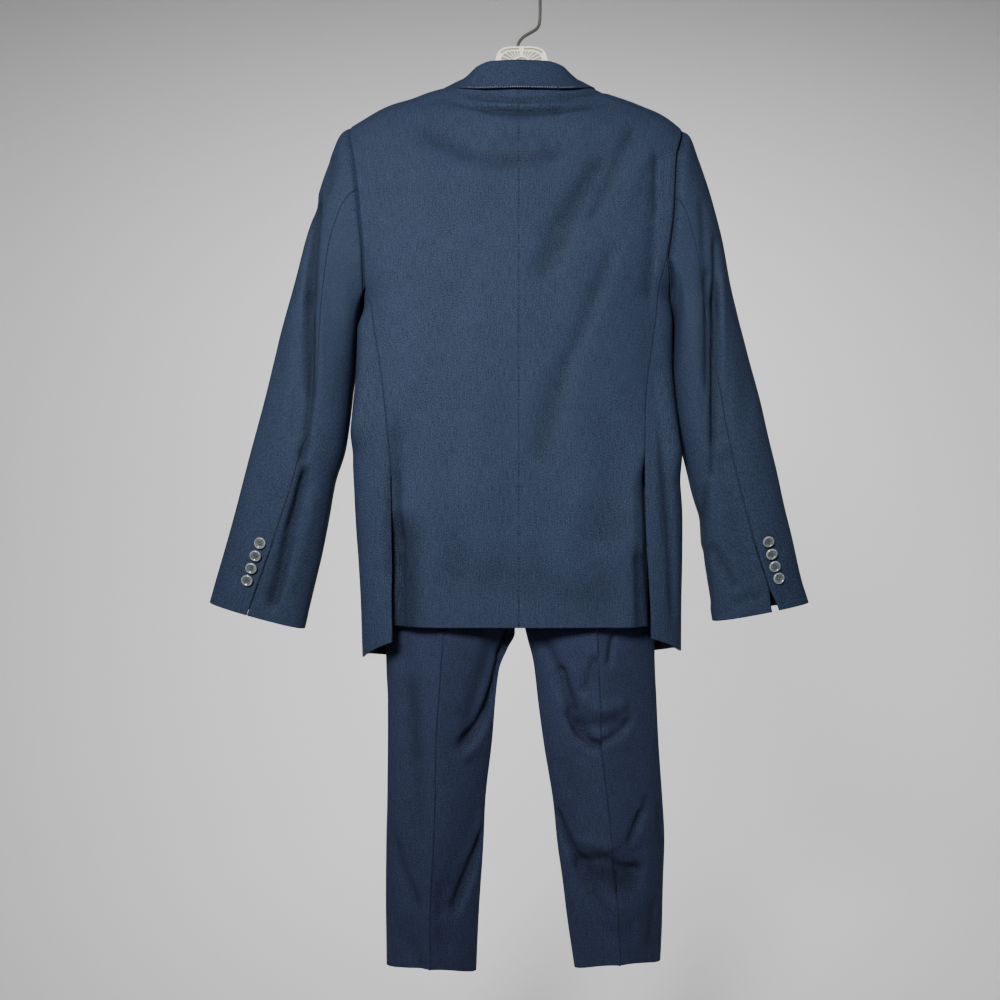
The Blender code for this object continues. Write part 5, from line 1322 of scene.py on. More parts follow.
def cloth_material(name, colour, contrast, slub):
    return finish_material(
        name, worsted_group, "UV",
        {
            "Dark": scaled_colour(colour, 1 - CLOTH_DARKER * contrast),
            "Light": scaled_colour(colour, 1 + CLOTH_LIGHTER * contrast),
            "Slub": slub,
        },
        CLOTH_BUMP,
        {
            "Sheen Weight": 0.04, "Sheen Roughness": 0.45, "Specular IOR Level": 0.15,
            "Sheen Tint": scaled_colour(colour, CLOTH_SHEEN_TINT),
        },
    )


def hard_material(name, colour, finish):
    return finish_material(
        name, speckle_group, "Object",
        {
            "Dark": scaled_colour(colour, 1 - finish.contrast),
            "Light": scaled_colour(colour, 1 + finish.contrast),
            "Across": finish.across, "Rough Low": finish.rough[0], "Rough High": finish.rough[1],
        },
        finish.bump, finish.shader_values,
    )


def jacket_materials():
    colours = bpy.context.scene.suit_colours
    return [
        cloth_material("jacket worsted", colours.jacket, contrast=0.88, slub=0.65),
        hard_material("lining satin", colours.lining, LINING),
    ]


def trouser_materials():
    colour = bpy.context.scene.suit_colours.trousers
    wrong_side = scaled_colour(colour, WRONG_SIDE_TONE)
    return [
        cloth_material("trouser worsted", colour, contrast=0.8, slub=0.7),
        cloth_material("trouser wrong side", wrong_side, contrast=0.3, slub=0.8),
    ]


# ---------------------------------------------------------------- which panel lies where

CENTRE_SEAM = 0.6
SLEEVE_REACH = 0.62
# How deep the collar's leaf turns in, from which height on it, and near its ends where it stops
LEAF_TUCK = 0.003
LEAF_TUCK_FROM = 0.6
LEAF_TUCK_ENDS = (0.3, 0.5)
# Half the depth over which a side panel's creases pass from those of the back to the front's
CREASE_BLEND = 0.02
# The part of the sleeve's valley that its front has, and the depths over which the rest comes in
VALLEY_LEAST = 0.2
VALLEY_DEPTHS = (0.008, 0.03)
# How near a leg's seam its creases fade, as a product of the shares either side
SEAM_CALM = (0.01, 0.1)
JACKET_SEED = 11
TROUSER_SEED = 12
BODY_ROWS = (0.0, 2.0)
FREE_EDGES = (0, 0, 0, 0)


def relief_of(creases, height, seed, extra=None, before=None):
    """How far a panel's cloth is pushed in: its creases, its ripple and anything extra."""
    def relief(across, row, points):
        pushed = crease_depth(creases, points[..., 0], points[..., 2])
        if before is not None:
            crossing = crease_depth(before, points[..., 0], points[..., 2])
            pushed = mix(pushed, crossing, ramp(points[..., 1], -CREASE_BLEND, CREASE_BLEND))
        pushed = pushed + ripple(points[..., 0], points[..., 2], height, seed)
        if extra is not None:
            pushed = pushed + extra(across, row, points)
        return pushed

    return relief


SMOOTH = relief_of((), 0.0, JACKET_SEED)


def pressed_crease(side, across, row):
    """The sharp ironed edge down the middle of a leg: a ridge with a fine groove to its right."""
    aside = (across - 0.5) * PRESSED_ACROSS * -SIDES[side]
    ridge = PRESSED_CREASE_HEIGHT * np.exp(-((aside / PRESSED_CREASE_WIDTH) ** 2))
    away = (aside - PRESSED_GROOVE_ASIDE) / PRESSED_GROOVE_WIDTH
    groove = PRESSED_GROOVE_DEPTH * np.exp(-(away**2))
    return (groove - ridge) * ramp(1 - row, *PRESSED_FADE)


def sleeve_valley(side):
    """The sleeve's turn inwards beside the armhole, deepest on the back."""
    def sunk(across, row, points):
        away = row * SLEEVE_REACH / ARMHOLE_ROLL[side]
        on_back = mix(VALLEY_LEAST, 1.0, ramp(-points[..., 1], *VALLEY_DEPTHS))
        return ARMHOLE_SINK[side] * away * np.exp(1 - away) * on_back

    return sunk


def leaf_tuck(across, row, points):
    """The collar's leaf turns in to lie on the back towards its edge."""
    return LEAF_TUCK * ramp(row, LEAF_TUCK_FROM, 1.0) * ramp(1 - np.abs(across), *LEAF_TUCK_ENDS)


def back_panel(side, sizes):
    creases = BACK_CREASES + SIDE_CREASES[side] + VENT_CREASES[side]
    return Panel(
        partial(back_form, side), SIDES[side], sizes.jacket_wall, (CENTRE_SEAM, 1, 0, 1),
        relief_of(creases, sizes.ripple, JACKET_SEED), rows=BODY_ROWS,
    )


def front_relief(side, sizes):
    return relief_of(FRONT_CREASES + SIDE_CREASES[side], sizes.ripple, JACKET_SEED)


def front_panel(side, sizes):
    return Panel(
        partial(front_form, side), -SIDES[side], sizes.jacket_wall, (0, 1, 0, 1),
        front_relief(side, sizes), rows=BODY_ROWS,
    )


def side_panel(side, sizes):
    relief = relief_of(
        BACK_CREASES + SIDE_CREASES[side], sizes.ripple, JACKET_SEED,
        before=FRONT_CREASES + SIDE_CREASES[side],
    )
    return Panel(partial(side_form, side), SIDES[side], sizes.jacket_wall, (1, 1, 0, 1), relief)


def lapel_panel(side, sizes):
    return Panel(partial(lapel_form, side), -SIDES[side], sizes.jacket_wall, FREE_EDGES, SMOOTH)


def flap_panel(side, sizes):
    form = partial(
        patch_form, side, FLAP_IN_X, FLAP_OUT_X, FLAP_TOP_Z, FLAP_HEIGHT, 0.0, FLAP_LIFT
    )
    return Panel(form, -SIDES[side], sizes.jacket_wall, FREE_EDGES, front_relief(side, sizes))


def welt_panel(sizes):
    form = partial(
        patch_form, "left", WELT_IN_X, WELT_OUT_X, WELT_TOP_Z, WELT_HEIGHT, WELT_SLANT, FLAP_LIFT
    )
    relief = relief_of(FRONT_CREASES, sizes.ripple, JACKET_SEED)
    return Panel(form, -SIDES["left"], sizes.jacket_wall, FREE_EDGES, relief)


def sleeve_panel(side, piece, sizes):
    back_seam, fore_seam = hind_place(side), fore_place()
    return Panel(
        partial(sleeve_form, side, piece), SIDES[side], sizes.jacket_wall, (1, 1, 1, 0),
        relief_of(SLEEVE_CREASES[side], sizes.ripple, JACKET_SEED, sleeve_valley(side)),
        columns=(fore_seam - 3, back_seam) if piece == "top" else (back_seam, fore_seam),
    )


def leg_panel(side, face, sizes):
    creases = LEG_CREASES[side] if face < 0 else LEG_FRONT_CREASES[side]

    def gated(across, row, points):
        """Creases fade out next to the seams, where two layers hold the cloth flat."""
        flat = 4 * across * (1 - across)
        crossing = crease_depth(creases, points[..., 0], points[..., 2])
        return pressed_crease(side, across, row) - crossing * (1 - ramp(flat, *SEAM_CALM))

    return Panel(
        partial(leg_form, side, face), face * SIDES[side], sizes.trouser_wall, (1, 1, 0, 1),
        relief_of(creases, sizes.ripple, TROUSER_SEED, gated), face=face, sharp=(0.5,),
    )


def waist_panel(side, sizes):
    return Panel(partial(waist_form, side), SIDES[side], sizes.trouser_wall, (1, 1, 1, 0), SMOOTH)


def collar_panel(sizes):
    return Panel(
        collar_form, -1.0, sizes.collar_wall, (0, 0, 1, 0),
        relief_of((), 0.0, JACKET_SEED, leaf_tuck), columns=(-1.0, 1.0),
    )


# ---------------------------------------------------------------- buttons and threads

BUTTON_HOLES = ((0.2, 0.2), (-0.2, 0.2), (-0.2, -0.2), (0.2, -0.2))
BUTTON_HOLE_RADIUS = 0.135
BUTTON_HOLE_SIDES = 14
BUTTON_STEPS = 48
BUTTON_SHARP_DEGREES = 38
# Half a button's section, in shares of its radius and thickness
BUTTON_PROFILE = (
    (0.0, 0.0), (0.86, 0.0), (0.97, 0.2), (1.0, 0.48), (0.97, 0.78), (0.9, 0.96), (0.83, 1.0),
    (0.76, 0.97), (0.7, 0.84), (0.64, 0.7), (0.52, 0.62), (0.25, 0.6), (0.0, 0.6),
)
# Share of the radius inside which the button's top takes the dish colour, horn darkened as painted
# shade
HOLLOW_SHARE = 0.75
# A button's stitches and shank, in shares of its radius and thickness
STITCH_HEIGHT = 0.66
STITCH_REACH = 1.35
STITCH_WIDTH = 0.085
STITCH_RISE = 0.075
SHANK_RADIUS = 0.26
SHANK_LENGTH = 0.5
SHANK_DROP = 0.1
THREAD_SIDES = 12
THREAD_RINGS = 8
FRONT_BUTTON_TURN = 0.3
WAIST_BUTTON_TURN = 0.2
# How far each cuff button leans and turns, from the highest down
BUTTON_LEAN = {
    "left": ((0.05, 0.15), (0.3, 0.5), (0.26, -0.35), (0.2, 0.2)),
    "right": ((0.32, -0.3), (0.3, 0.25), (0.24, 0.6), (0.04, -0.1)),
}
# Runs of white stitches along the collar's edge: first and last x, number, thickness and slant
Basting = namedtuple("Basting", "x to_x count thick slant")
BASTING_RUNS = rows_of(
    Basting, (-0.066, -0.012, 17, 0.5, 0.3), (-0.0112, 0.015, 9, 1.1, 0.1),
    (0.0165, 0.032, 7, 0.8, 0.25), (0.033, 0.05, 6, 1.1, -0.1), (0.052, 0.073, 8, 0.5, 0.3),
)
# Height of the stitches on the collar, the part of each step that one fills, and its lean
BASTING_HEIGHT = 0.985
BASTING_FILL = 0.5
BASTING_SLANT = 0.03
BASTING_LIMIT = 0.998
BASTING_SIDES = 8
BASTING_RINGS = 6


def turned_mesh(name, profile, steps):
    """A mesh turned round the Z axis from its profile of (radius, height)."""
    bm = bmesh.new()
    verts = [bm.verts.new((radius, 0.0, z)) for radius, z in profile]
    edges = [bm.edges.new(pair) for pair in zip(verts[:-1], verts[1:])]
    bmesh.ops.spin(
        bm, geom=verts + edges, axis=(0, 0, 1), cent=(0, 0, 0), angle=2 * math.pi, steps=steps,
        use_merge=True,
    )
    bmesh.ops.remove_doubles(bm, verts=bm.verts[:], dist=MERGE_DISTANCE)
    bmesh.ops.recalc_face_normals(bm, faces=bm.faces[:])
    return mesh_of(name, bm)


def turned_button(diameter, thickness):
    """A four-hole button, its back at the origin and facing +Z."""
    radius = diameter / 2
    profile = [(r * radius, z * thickness) for r, z in BUTTON_PROFILE]
    disc = turned_mesh("button disc", profile, BUTTON_STEPS)
    holes = bmesh.new()
    for x, y in BUTTON_HOLES:
        bmesh.ops.create_cone(
            holes, cap_ends=True, segments=BUTTON_HOLE_SIDES, depth=thickness * 3,
            radius1=BUTTON_HOLE_RADIUS * radius, radius2=BUTTON_HOLE_RADIUS * radius,
            matrix=Matrix.Translation((x * radius, y * radius, thickness / 2)),
        )
    return cut_mesh("drilled button", disc, mesh_of("button drill", holes))


def mesh_of(name, bm):
    """A mesh from this working one, which is used up."""
    mesh = bpy.data.meshes.new(name)
    bm.to_mesh(mesh)
    bm.free()
    return mesh


def cut_mesh(name, body, tool, operation="DIFFERENCE"):
    """The body with the tool's volume cut away or joined on."""
    pair = [bpy.data.objects.new(name, mesh) for mesh in (body, tool)]
    for part in pair:
        bpy.context.scene.collection.objects.link(part)
    step = pair[0].modifiers.new("cut", "BOOLEAN")
    step.operation = operation
    step.solver = "EXACT"
    step.object = pair[1]
    graph = bpy.context.evaluated_depsgraph_get()
    made = bpy.data.meshes.new_from_object(pair[0].evaluated_get(graph))
    made.name = name
    for part in pair:
        bpy.data.objects.remove(part)
    return made


def add_bead(bm, place, turn, size, sides, rings):
    """A rounded bead with these half sizes along its own three axes."""
    bmesh.ops.create_uvsphere(
        bm, u_segments=sides, v_segments=rings, radius=1.0,
        matrix=Matrix.Translation(place) @ turn @ Matrix.Diagonal((*size, 1)),
    )


def button_thread(radius, thickness):
    """Two stitches across the holes and the shank of thread that holds the button."""
    bm = bmesh.new()
    hole_x, hole_y = BUTTON_HOLES[0]
    size = Vector((hole_x * STITCH_REACH, STITCH_WIDTH, STITCH_RISE)) * radius
    for y in (-hole_y, hole_y):
        place = (0, y * radius, thickness * STITCH_HEIGHT)
        add_bead(bm, place, Matrix(), size, THREAD_SIDES, THREAD_RINGS)
    bmesh.ops.create_cone(
        bm, cap_ends=True, segments=THREAD_SIDES, radius1=radius * SHANK_RADIUS,
        radius2=radius * SHANK_RADIUS, depth=thickness * SHANK_LENGTH,
        matrix=Matrix.Translation((0, 0, -thickness * SHANK_DROP)),
    )
    return mesh_of("button thread", bm)


def add_button(node, diameter, place, outward, tilt, turn):
    """A button with its threads in place of its solid, set on the cloth and facing outward."""
    thickness = BUTTON_THICKNESS
    place = np.array(place) + np.array(outward) * SEAM_GAP
    face = Vector((0, 0, 1)).rotation_difference(Vector(outward)).to_matrix().to_4x4()
    lean = Matrix.Rotation(tilt, 4, "X")
    spin = Matrix.Rotation(turn, 4, "Z")
    lift = Matrix.Translation((0, 0, abs(math.sin(tilt)) * diameter / 2))
    where = Matrix.Translation(Vector(place)) @ face @ lift @ lean @ spin
    bm = bmesh.new()
    bm.from_mesh(turned_button(diameter, thickness))
    horn_faces = len(bm.faces)
    bm.from_mesh(button_thread(diameter / 2, thickness))
    bm.faces.ensure_lookup_table()
    # The dish faces take a darker horn as painted shade; the other faces take a lighter horn as
    # painted highlight
    for number, face_item in enumerate(bm.faces):
        middle = face_item.calc_center_median()
        if number >= horn_faces:
            face_item.material_index = 1
        elif middle.xy.length < HOLLOW_SHARE * diameter / 2 and middle.z > thickness / 2:
            face_item.material_index = 2
    bm.transform(where)
    mesh = smooth_hard(mesh_of(node + "_turned", bm), BUTTON_SHARP_DEGREES)
    colours = bpy.context.scene.suit_colours
    # Rim: horn lightened by painted highlight; dish: horn darkened by painted shade
    finishes = [
        hard_material("horn rim", colours.horn, HORN),
        hard_material("button thread", colours.button_thread, THREAD),
        hard_material("horn dish", colours.horn_dish, HORN),
    ]
    add_piece(node + "_turned", mesh, finishes, [node])


def sleeve_place(side, along, share):
    """A place on the back of the sleeve and the way it faces."""
    def point(a, s):
        x, y, z = tube_form(side, np.array([a]), share_angle(np.array([s])))
        return np.concatenate([SIDES[side] * x, y, z])

    here = point(along, share)
    normal = unit(np.cross(point(along + STEP, share) - here, point(along, share + STEP) - here))
    return here, normal * -np.sign(normal[1])


def stitch(bm, start, end, radius):
    """One stitch of thread: a slim rounded bead from start to end."""
    run = end - start
    turn = Vector((0, 0, 1)).rotation_difference(run.normalized()).to_matrix().to_4x4()
    size = (radius, radius, run.length / 2)
    add_bead(bm, (start + end) / 2, turn, size, BASTING_SIDES, BASTING_RINGS)


def collar_place(along, height):
    """A place on the outside of the collar, and the way it faces."""
    def point(a, h):
        return np.stack(collar_form(np.array([a]), np.array([h])), axis=-1)[0]

    across_way = unit(point(along + STEP, height) - point(along - STEP, height))
    row_way = unit(point(along, height + STEP) - point(along, height - STEP))
    return point(along, height), unit(-np.cross(across_way, row_way))


def basting_mesh(radius):
    """The white stitches along the collar's edge, short and slanted or long and straight."""
    sample = np.linspace(-1, 1, MEASURE_STEPS)
    x = collar_form(sample, np.full(MEASURE_STEPS, BASTING_HEIGHT))[0]
    bm = bmesh.new()
    for run in BASTING_RUNS:
        edges = np.linspace(run.x, run.to_x, run.count + 1)
        for number, (start, end) in enumerate(zip(edges[:-1], edges[1:])):
            slant = run.slant * (1 - 2 * (number % 2)) * BASTING_SLANT
            thick = radius * run.thick
            last = mix(start, end, BASTING_FILL)
            ends = []
            for place, tip in ((start, -slant), (last, slant)):
                height = min(BASTING_LIMIT, BASTING_HEIGHT + tip)
                point, normal = collar_place(np.interp(place, x, sample), height)
                ends.append(Vector(point + normal * (thick * 0.5 - LEAF_TUCK)))
            stitch(bm, ends[0], ends[1], thick)
    mesh = mesh_of("collar basting", bm)
    mesh.shade_smooth()
    return mesh


# ---------------------------------------------------------------- the hanger

CORNER_CUT = 0.25
CORNER_CUTS = 3
CREST_ARCH_STEPS = 49
HOOK_STEPS = 60
HOOK_END_STEPS = 5
HOOK_TIP_SHARE = 0.05
HOOK_SIDES = 4
FRAME_SIDES = 5
HARD_ROUND = 0.0004
HARD_EDGE_ANGLE = 0.6
HARD_SHARP_DEGREES = 32


def rounded_path(corners):
    """A closed path through the corners (x, z, radius), with an arc in place of each round one."""
    path = []
    count = len(corners)
    for index, (x, z, radius) in enumerate(corners):
        here = Vector((x, z))
        if radius == 0:
            path.append(here)
            continue
        before = (Vector(corners[index - 1][:2]) - here).normalized()
        after = (Vector(corners[(index + 1) % count][:2]) - here).normalized()
        for step in range(CORNER_STEPS + 1):
            t = step / CORNER_STEPS
            start = here + before * radius
            end = here + after * radius
            path.append(start * (1 - t) ** 2 + here * 2 * t * (1 - t) + end * t * t)
    return path


def arm_height(side, x):
    """Middle of the frame's arm, under that shoulder of the jacket."""
    drop = JACKET_WALL + FRAME_CLEARANCE + FRAME_RADIUS
    place = np.array([max(x, NECK_X), max(x, NECK_X) + STEP])
    here, beyond = shoulder_z(side, place)
    height = here - drop * math.hypot(1, (beyond - here) / STEP)
    return height if x > NECK_X else mix(ARM_TOP_Z, height, (x / NECK_X) ** 2)


def frame_side(side):
    """Half of the frame's path, from the middle of its top to the middle of its bar."""
    places = np.linspace(0, FRAME_HALF_WIDTH, ARM_POINTS)[1:]
    half = [(x, arm_height(side, x), 0) for x in places] + [FRAME_CORNER, BAR_CORNER]
    return [(SIDES[side] * x, z, radius) for x, z, radius in half]


def add_plate(bm, outline, low_y, high_y):
    """A closed plate with this outline of (x, z), from one depth to another."""
    face = bm.faces.new([bm.verts.new((x, low_y, z)) for x, z in outline])
    made = bmesh.ops.extrude_face_region(bm, geom=[face])
    moved = [item for item in made["geom"] if isinstance(item, bmesh.types.BMVert)]
    bmesh.ops.translate(bm, verts=moved, vec=(0, high_y - low_y, 0))


def on_circle(x, z, radius, angle):
    return x + radius * math.cos(angle), z + radius * math.sin(angle)


def crest_point(angle, inset, centre_z=CREST_FOOT_Z):
    """Where a ray from a point of the crest's middle line meets its arch, or an inset of it."""
    half_width = CREST_HALF_WIDTH - inset
    height = CREST_TOP_Z - CREST_FOOT_Z - inset
    near = 0.0
    far = 2 * CREST_HALF_WIDTH
    for _ in range(RAY_STEPS):
        reach = (near + far) / 2
        share_x = abs(reach * math.cos(angle)) / half_width
        share_z = abs(centre_z - CREST_FOOT_Z + reach * math.sin(angle)) / height
        inside = share_x**CREST_POWER + share_z**CREST_POWER < 1
        near, far = (reach, far) if inside else (near, reach)
    return on_circle(HANGER_X, centre_z, near, angle)


def fan_window(angle, next_angle):
    """Outline of the gap between two ribs, from the hub of the fan to the rim of the crest."""
    hub = [on_circle(HANGER_X, FAN_Z, FAN_RADIUS, a) for a in (next_angle, angle)]
    middle = (angle + next_angle) / 2
    rim = [crest_point(a, CREST_INNER_RIM, FAN_Z) for a in (angle, middle, next_angle)]
    corners = np.array(hub + rim)
    across = np.array([-math.sin(middle), math.cos(middle)])
    for corner, way in zip(corners, (-1, 1, 1, 0, -1)):
        corner += across * way * RIB_WIDTH / 2
    return [tuple(corner) for corner in corners]


def fan_hole():
    """Outline of the round hole in the hub of the fan."""
    turns = np.linspace(0, 2 * math.pi, FAN_HOLE_SIDES, endpoint=False)
    return [on_circle(HANGER_X, FAN_Z, FAN_HOLE_RADIUS, a) for a in turns]


def crest_slot(sign):
    """Outline of the thin slot under the rim, on one side of the post."""
    gap = CREST_POST / 2 / (CREST_TOP_Z - CREST_FOOT_Z)
    angles = math.pi / 2 + sign * np.linspace(gap, SLOT_TURN, SLOT_STEPS)
    upper = [crest_point(a, CREST_RIM) for a in angles]
    lower = [crest_point(a, CREST_RIM + CREST_SLOT) for a in reversed(angles)]
    return upper + lower


def round_bar(name, path, radius, sides, closed, thick=None):
    """A round bar along a path of (x, z) in the middle plane, thinner where thick is under 1."""
    curve = bpy.data.curves.new(name, "CURVE")
    curve.dimensions = "3D"
    curve.bevel_depth = radius
    curve.bevel_resolution = sides
    curve.use_fill_caps = not closed
    spline = curve.splines.new("POLY")
    spline.points.add(len(path) - 1)
    for point, (x, z), share in zip(spline.points, path, thick or [1.0] * len(path)):
        point.co = (x, 0.0, z, 1.0)
        point.radius = share
    spline.use_cyclic_u = closed
    guide = bpy.data.objects.new(name, curve)
    mesh = bpy.data.meshes.new_from_object(guide)
    bpy.data.objects.remove(guide)
    bpy.data.curves.remove(curve)
    bm = bmesh.new()
    bm.from_mesh(mesh)
    bpy.data.meshes.remove(mesh)
    bmesh.ops.remove_doubles(bm, verts=bm.verts[:], dist=MERGE_DISTANCE)
    bmesh.ops.recalc_face_normals(bm, faces=bm.faces[:])
    return mesh_of(name, bm)


def smooth_path(points, count):
    """An even path of (x, z) on a rounded line through the points."""
    points = np.array(points)
    for _ in range(CORNER_CUTS):
        ends = points[:-1], points[1:]
        cut = [near * (1 - CORNER_CUT) + far * CORNER_CUT for near, far in (ends, ends[::-1])]
        points = np.concatenate([points[:1], np.stack(cut, axis=1).reshape(-1, 2), points[-1:]])
    reach = np.concatenate([[0], np.cumsum(np.linalg.norm(np.diff(points, axis=0), axis=1))])
    wanted = np.linspace(0, reach[-1], count)
    return [(np.interp(w, reach, points[:, 0]), np.interp(w, reach, points[:, 1])) for w in wanted]


def hook_mesh():
    """The wire hook, its free end rounded."""
    centre_z = WIRE_RADIUS - HOOK_RADIUS
    sweep = np.radians(np.linspace(0, HOOK_SWEEP_DEGREES, HOOK_STEPS))
    stem = smooth_path(HOOK_STEM + ((HOOK_RADIUS, centre_z),), HOOK_STEPS // 2)
    bow = [on_circle(0.0, centre_z, HOOK_RADIUS, a) for a in sweep]
    path = stem[:-1] + bow
    thick = [1.0] * len(path)
    away = math.radians(HOOK_SWEEP_DEGREES)
    for angle in np.linspace(0, math.pi / 2, HOOK_END_STEPS + 1)[1:]:
        turn = away + WIRE_RADIUS * math.sin(angle) / HOOK_RADIUS
        path.append(on_circle(0.0, centre_z, HOOK_RADIUS, turn))
        thick.append(max(HOOK_TIP_SHARE, math.cos(angle)))
    return smooth_hard(round_bar("hook wire", path, WIRE_RADIUS, HOOK_SIDES, False, thick))


def clip_mesh(side):
    """The clip over the bar, with its edges rounded."""
    mesh = node_copy("clip_" + side, "clip " + side)
    bm = bmesh.new()
    bm.from_mesh(mesh)
    edges = [
        edge for edge in bm.edges if edge.is_manifold and edge.calc_face_angle() > HARD_EDGE_ANGLE
    ]
    bmesh.ops.bevel(
        bm, geom=edges, offset=HARD_ROUND, segments=2, profile=0.5, affect="EDGES", material=-1,
        clamp_overlap=True,
    )
    return smooth_hard(mesh_of("clip " + side, bm))


def smooth_hard(mesh, degrees=HARD_SHARP_DEGREES):
    """Shades a mesh smooth, with its sharper edges kept."""
    mesh.shade_smooth()
    mesh.set_sharp_from_angle(angle=math.radians(degrees))
    return mesh


def hanger_mesh():
    """The round frame joined with its crest, which is pierced by the fan's windows."""
    path = rounded_path([(0.0, ARM_TOP_Z, 0)] + frame_side("right") + frame_side("left")[::-1])
    path = [(place.x, place.y) for place in path]
    bar = round_bar("hanger bar", path, FRAME_RADIUS, FRAME_SIDES, True)
    arch = [crest_point(angle, 0.0) for angle in np.linspace(0, math.pi, CREST_ARCH_STEPS)]
    foot_z = CREST_FOOT_Z - FRAME_RADIUS
    outline = [(arch[0][0], foot_z)] + arch + [(arch[-1][0], foot_z)]
    crest = bmesh.new()
    add_plate(crest, outline, -CREST_THICKNESS / 2, CREST_THICKNESS / 2)
    bmesh.ops.recalc_face_normals(crest, faces=crest.faces[:])
    windows = bmesh.new()
    turns = np.radians(np.linspace(FAN_FIRST_DEGREES, FAN_LAST_DEGREES, FAN_WINDOWS + 1))
    for angle, next_angle in zip(turns[:-1], turns[1:]):
        for shape in (
            fan_window(angle, next_angle), fan_window(math.pi - next_angle, math.pi - angle)
        ):
            add_plate(windows, shape, -CREST_THICKNESS, CREST_THICKNESS)
    for sign in SIDES.values():
        add_plate(windows, crest_slot(sign), -CREST_THICKNESS, CREST_THICKNESS)
    add_plate(windows, fan_hole(), -CREST_THICKNESS, CREST_THICKNESS)
    bmesh.ops.recalc_face_normals(windows, faces=windows.faces[:])
    joined = cut_mesh("hanger", bar, mesh_of("crest", crest), "UNION")
    return smooth_hard(cut_mesh("hanger", joined, mesh_of("windows", windows)))


def node_copy(node, name):
    """A copy of a solid's mesh with its loose triangles joined."""
    bm = bmesh.new()
    bm.from_mesh(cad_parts[node].data)
    bmesh.ops.remove_doubles(bm, verts=bm.verts[:], dist=MERGE_DISTANCE)
    bmesh.ops.dissolve_limit(bm, angle_limit=math.radians(1), verts=bm.verts[:], edges=bm.edges[:])
    return mesh_of(name, bm)


# ---------------------------------------------------------------- sizes and colours to edit

def length(name, description, default):
    return FloatProperty(name=name, description=description, default=default, unit="LENGTH")


def power(name, description, default):
    return FloatProperty(name=name, description=description, default=default, unit="POWER")


def colour(name, description, default):
    return FloatVectorProperty(
        name=name, description=description, default=default, size=3, subtype="COLOR", min=0, max=1
    )


class SuitSizes(bpy.types.PropertyGroup):
    cloth_step: length("Cloth grid", "Distance between rows of cloth points", 0.0029)
    hidden_step: length("Hidden cloth grid", "Distance between rows where less shows", 0.0045)
    jacket_wall: length("Jacket cloth", "Thickness of the jacket's cloth and lining", JACKET_WALL)
    trouser_wall: length("Trouser cloth", "Thickness of the trousers' cloth", TROUSER_WALL)
    collar_wall: length("Collar cloth", "Thickness of the collar's leaf", COLLAR_WALL)
    seam_roll: length("Seam roll", "How far from a seam the cloth starts to turn in", 0.0026)
    seam_sink: length("Seam sink", "How deep the cloth lies at a seam", 0.0007)
    # Width of the painted shade beside a seam
    seam_shade: length("Seam shade", "Width of the darker band beside a seam", 0.0018)
    ripple: length("Ripple", "Height of the cloth's gentle unevenness", 0.0011)
    thread: length("Thread", "Radius of a basting stitch", 0.00027)


class SuitColours(bpy.types.PropertyGroup):
    jacket: colour("Jacket cloth", "Colour of the jacket's worsted", (0.0172, 0.0266, 0.0515))
    trousers: colour("Trouser cloth", "Colour of the trousers' worsted", (0.0176, 0.0246, 0.052))
    lining: colour("Lining", "Colour of the jacket's lining", (0.006, 0.007, 0.01))
    # Both come from one horn: the rims' colour is lightened as painted highlight, the dishes'
    # darkened as painted shade
    horn: colour("Button rims", "Colour of the buttons' rims", (0.225, 0.258, 0.254))
    horn_dish: colour("Button dishes", "Colour of the buttons' hollow", (0.095, 0.113, 0.114))
    plastic: colour("Hanger", "Colour of the plastic hanger", (0.9, 0.86, 0.71))
    steel: colour("Hook", "Colour of the wire hook", (0.15, 0.14, 0.125))
    basting: colour("Basting thread", "Colour of the white collar stitches", (0.42, 0.44, 0.48))
    button_thread: colour("Button thread", "Colour of the buttons' thread", (0.03, 0.04, 0.07))


class SuitStage(bpy.types.PropertyGroup):
    lens: FloatProperty(
        name="Lens", description="Focal length of the camera", default=32.4, unit="CAMERA"
    )
    key: power("Key light", "Power of the soft light above and to the left", 11.2)
    fill: power("Fill light", "Power of the soft light from the front", 0.3)
    backdrop: power("Backdrop light", "Power of the light on the backdrop", 52.0)
    sky: FloatProperty(name="Sky", description="Strength of the even light all round", default=0.01)
    pale: colour("Floor", "Colour of the pale floor and backdrop", (0.9, 0.9, 0.9))


# ---------------------------------------------------------------- operators

def jacket_piece(node, panel, hidden=False):
    add_cloth(node, panel, jacket_materials(), hidden)


def trouser_piece(node, panel, hidden=False):
    add_cloth(node, panel, trouser_materials(), hidden)


class SUIT_OT_back(bpy.types.Operator):
    """Builds the jacket's back, in two panels with a centre seam"""
    bl_idname = "suit.back"
    bl_label = "Back"

    def execute(self, context):
        sizes = context.scene.suit_sizes
        for side in SIDES:
            jacket_piece("jacket_back_" + side, back_panel(side, sizes))
        return {"FINISHED"}


class SUIT_OT_fronts(bpy.types.Operator):
    """Builds the jacket's fronts and side panels"""
    bl_idname = "suit.fronts"
    bl_label = "Fronts and sides"

    def execute(self, context):
        sizes = context.scene.suit_sizes
        for side in SIDES:
            jacket_piece("jacket_front_" + side, front_panel(side, sizes), True)
            jacket_piece("jacket_side_" + side, side_panel(side, sizes))
        return {"FINISHED"}


class SUIT_OT_sleeves(bpy.types.Operator):
    """Builds both sleeves, each a top sleeve and an undersleeve"""
    bl_idname = "suit.sleeves"
    bl_label = "Sleeves"

    def execute(self, context):
        sizes = context.scene.suit_sizes
        for side in SIDES:
            for piece in ("top", "under"):
                node = f"{piece}sleeve_{side}"
                jacket_piece(node, sleeve_panel(side, piece, sizes))
        return {"FINISHED"}


class SUIT_OT_collar(bpy.types.Operator):
    """Builds the collar and its row of white basting stitches"""
    bl_idname = "suit.collar"
    bl_label = "Collar"

    def execute(self, context):
        sizes = context.scene.suit_sizes
        jacket_piece("collar", collar_panel(sizes))
        colour = context.scene.suit_colours.basting
        basting = hard_material("white basting thread", colour, THREAD)
        add_piece("collar_basting", basting_mesh(sizes.thread), [basting], [])
        return {"FINISHED"}


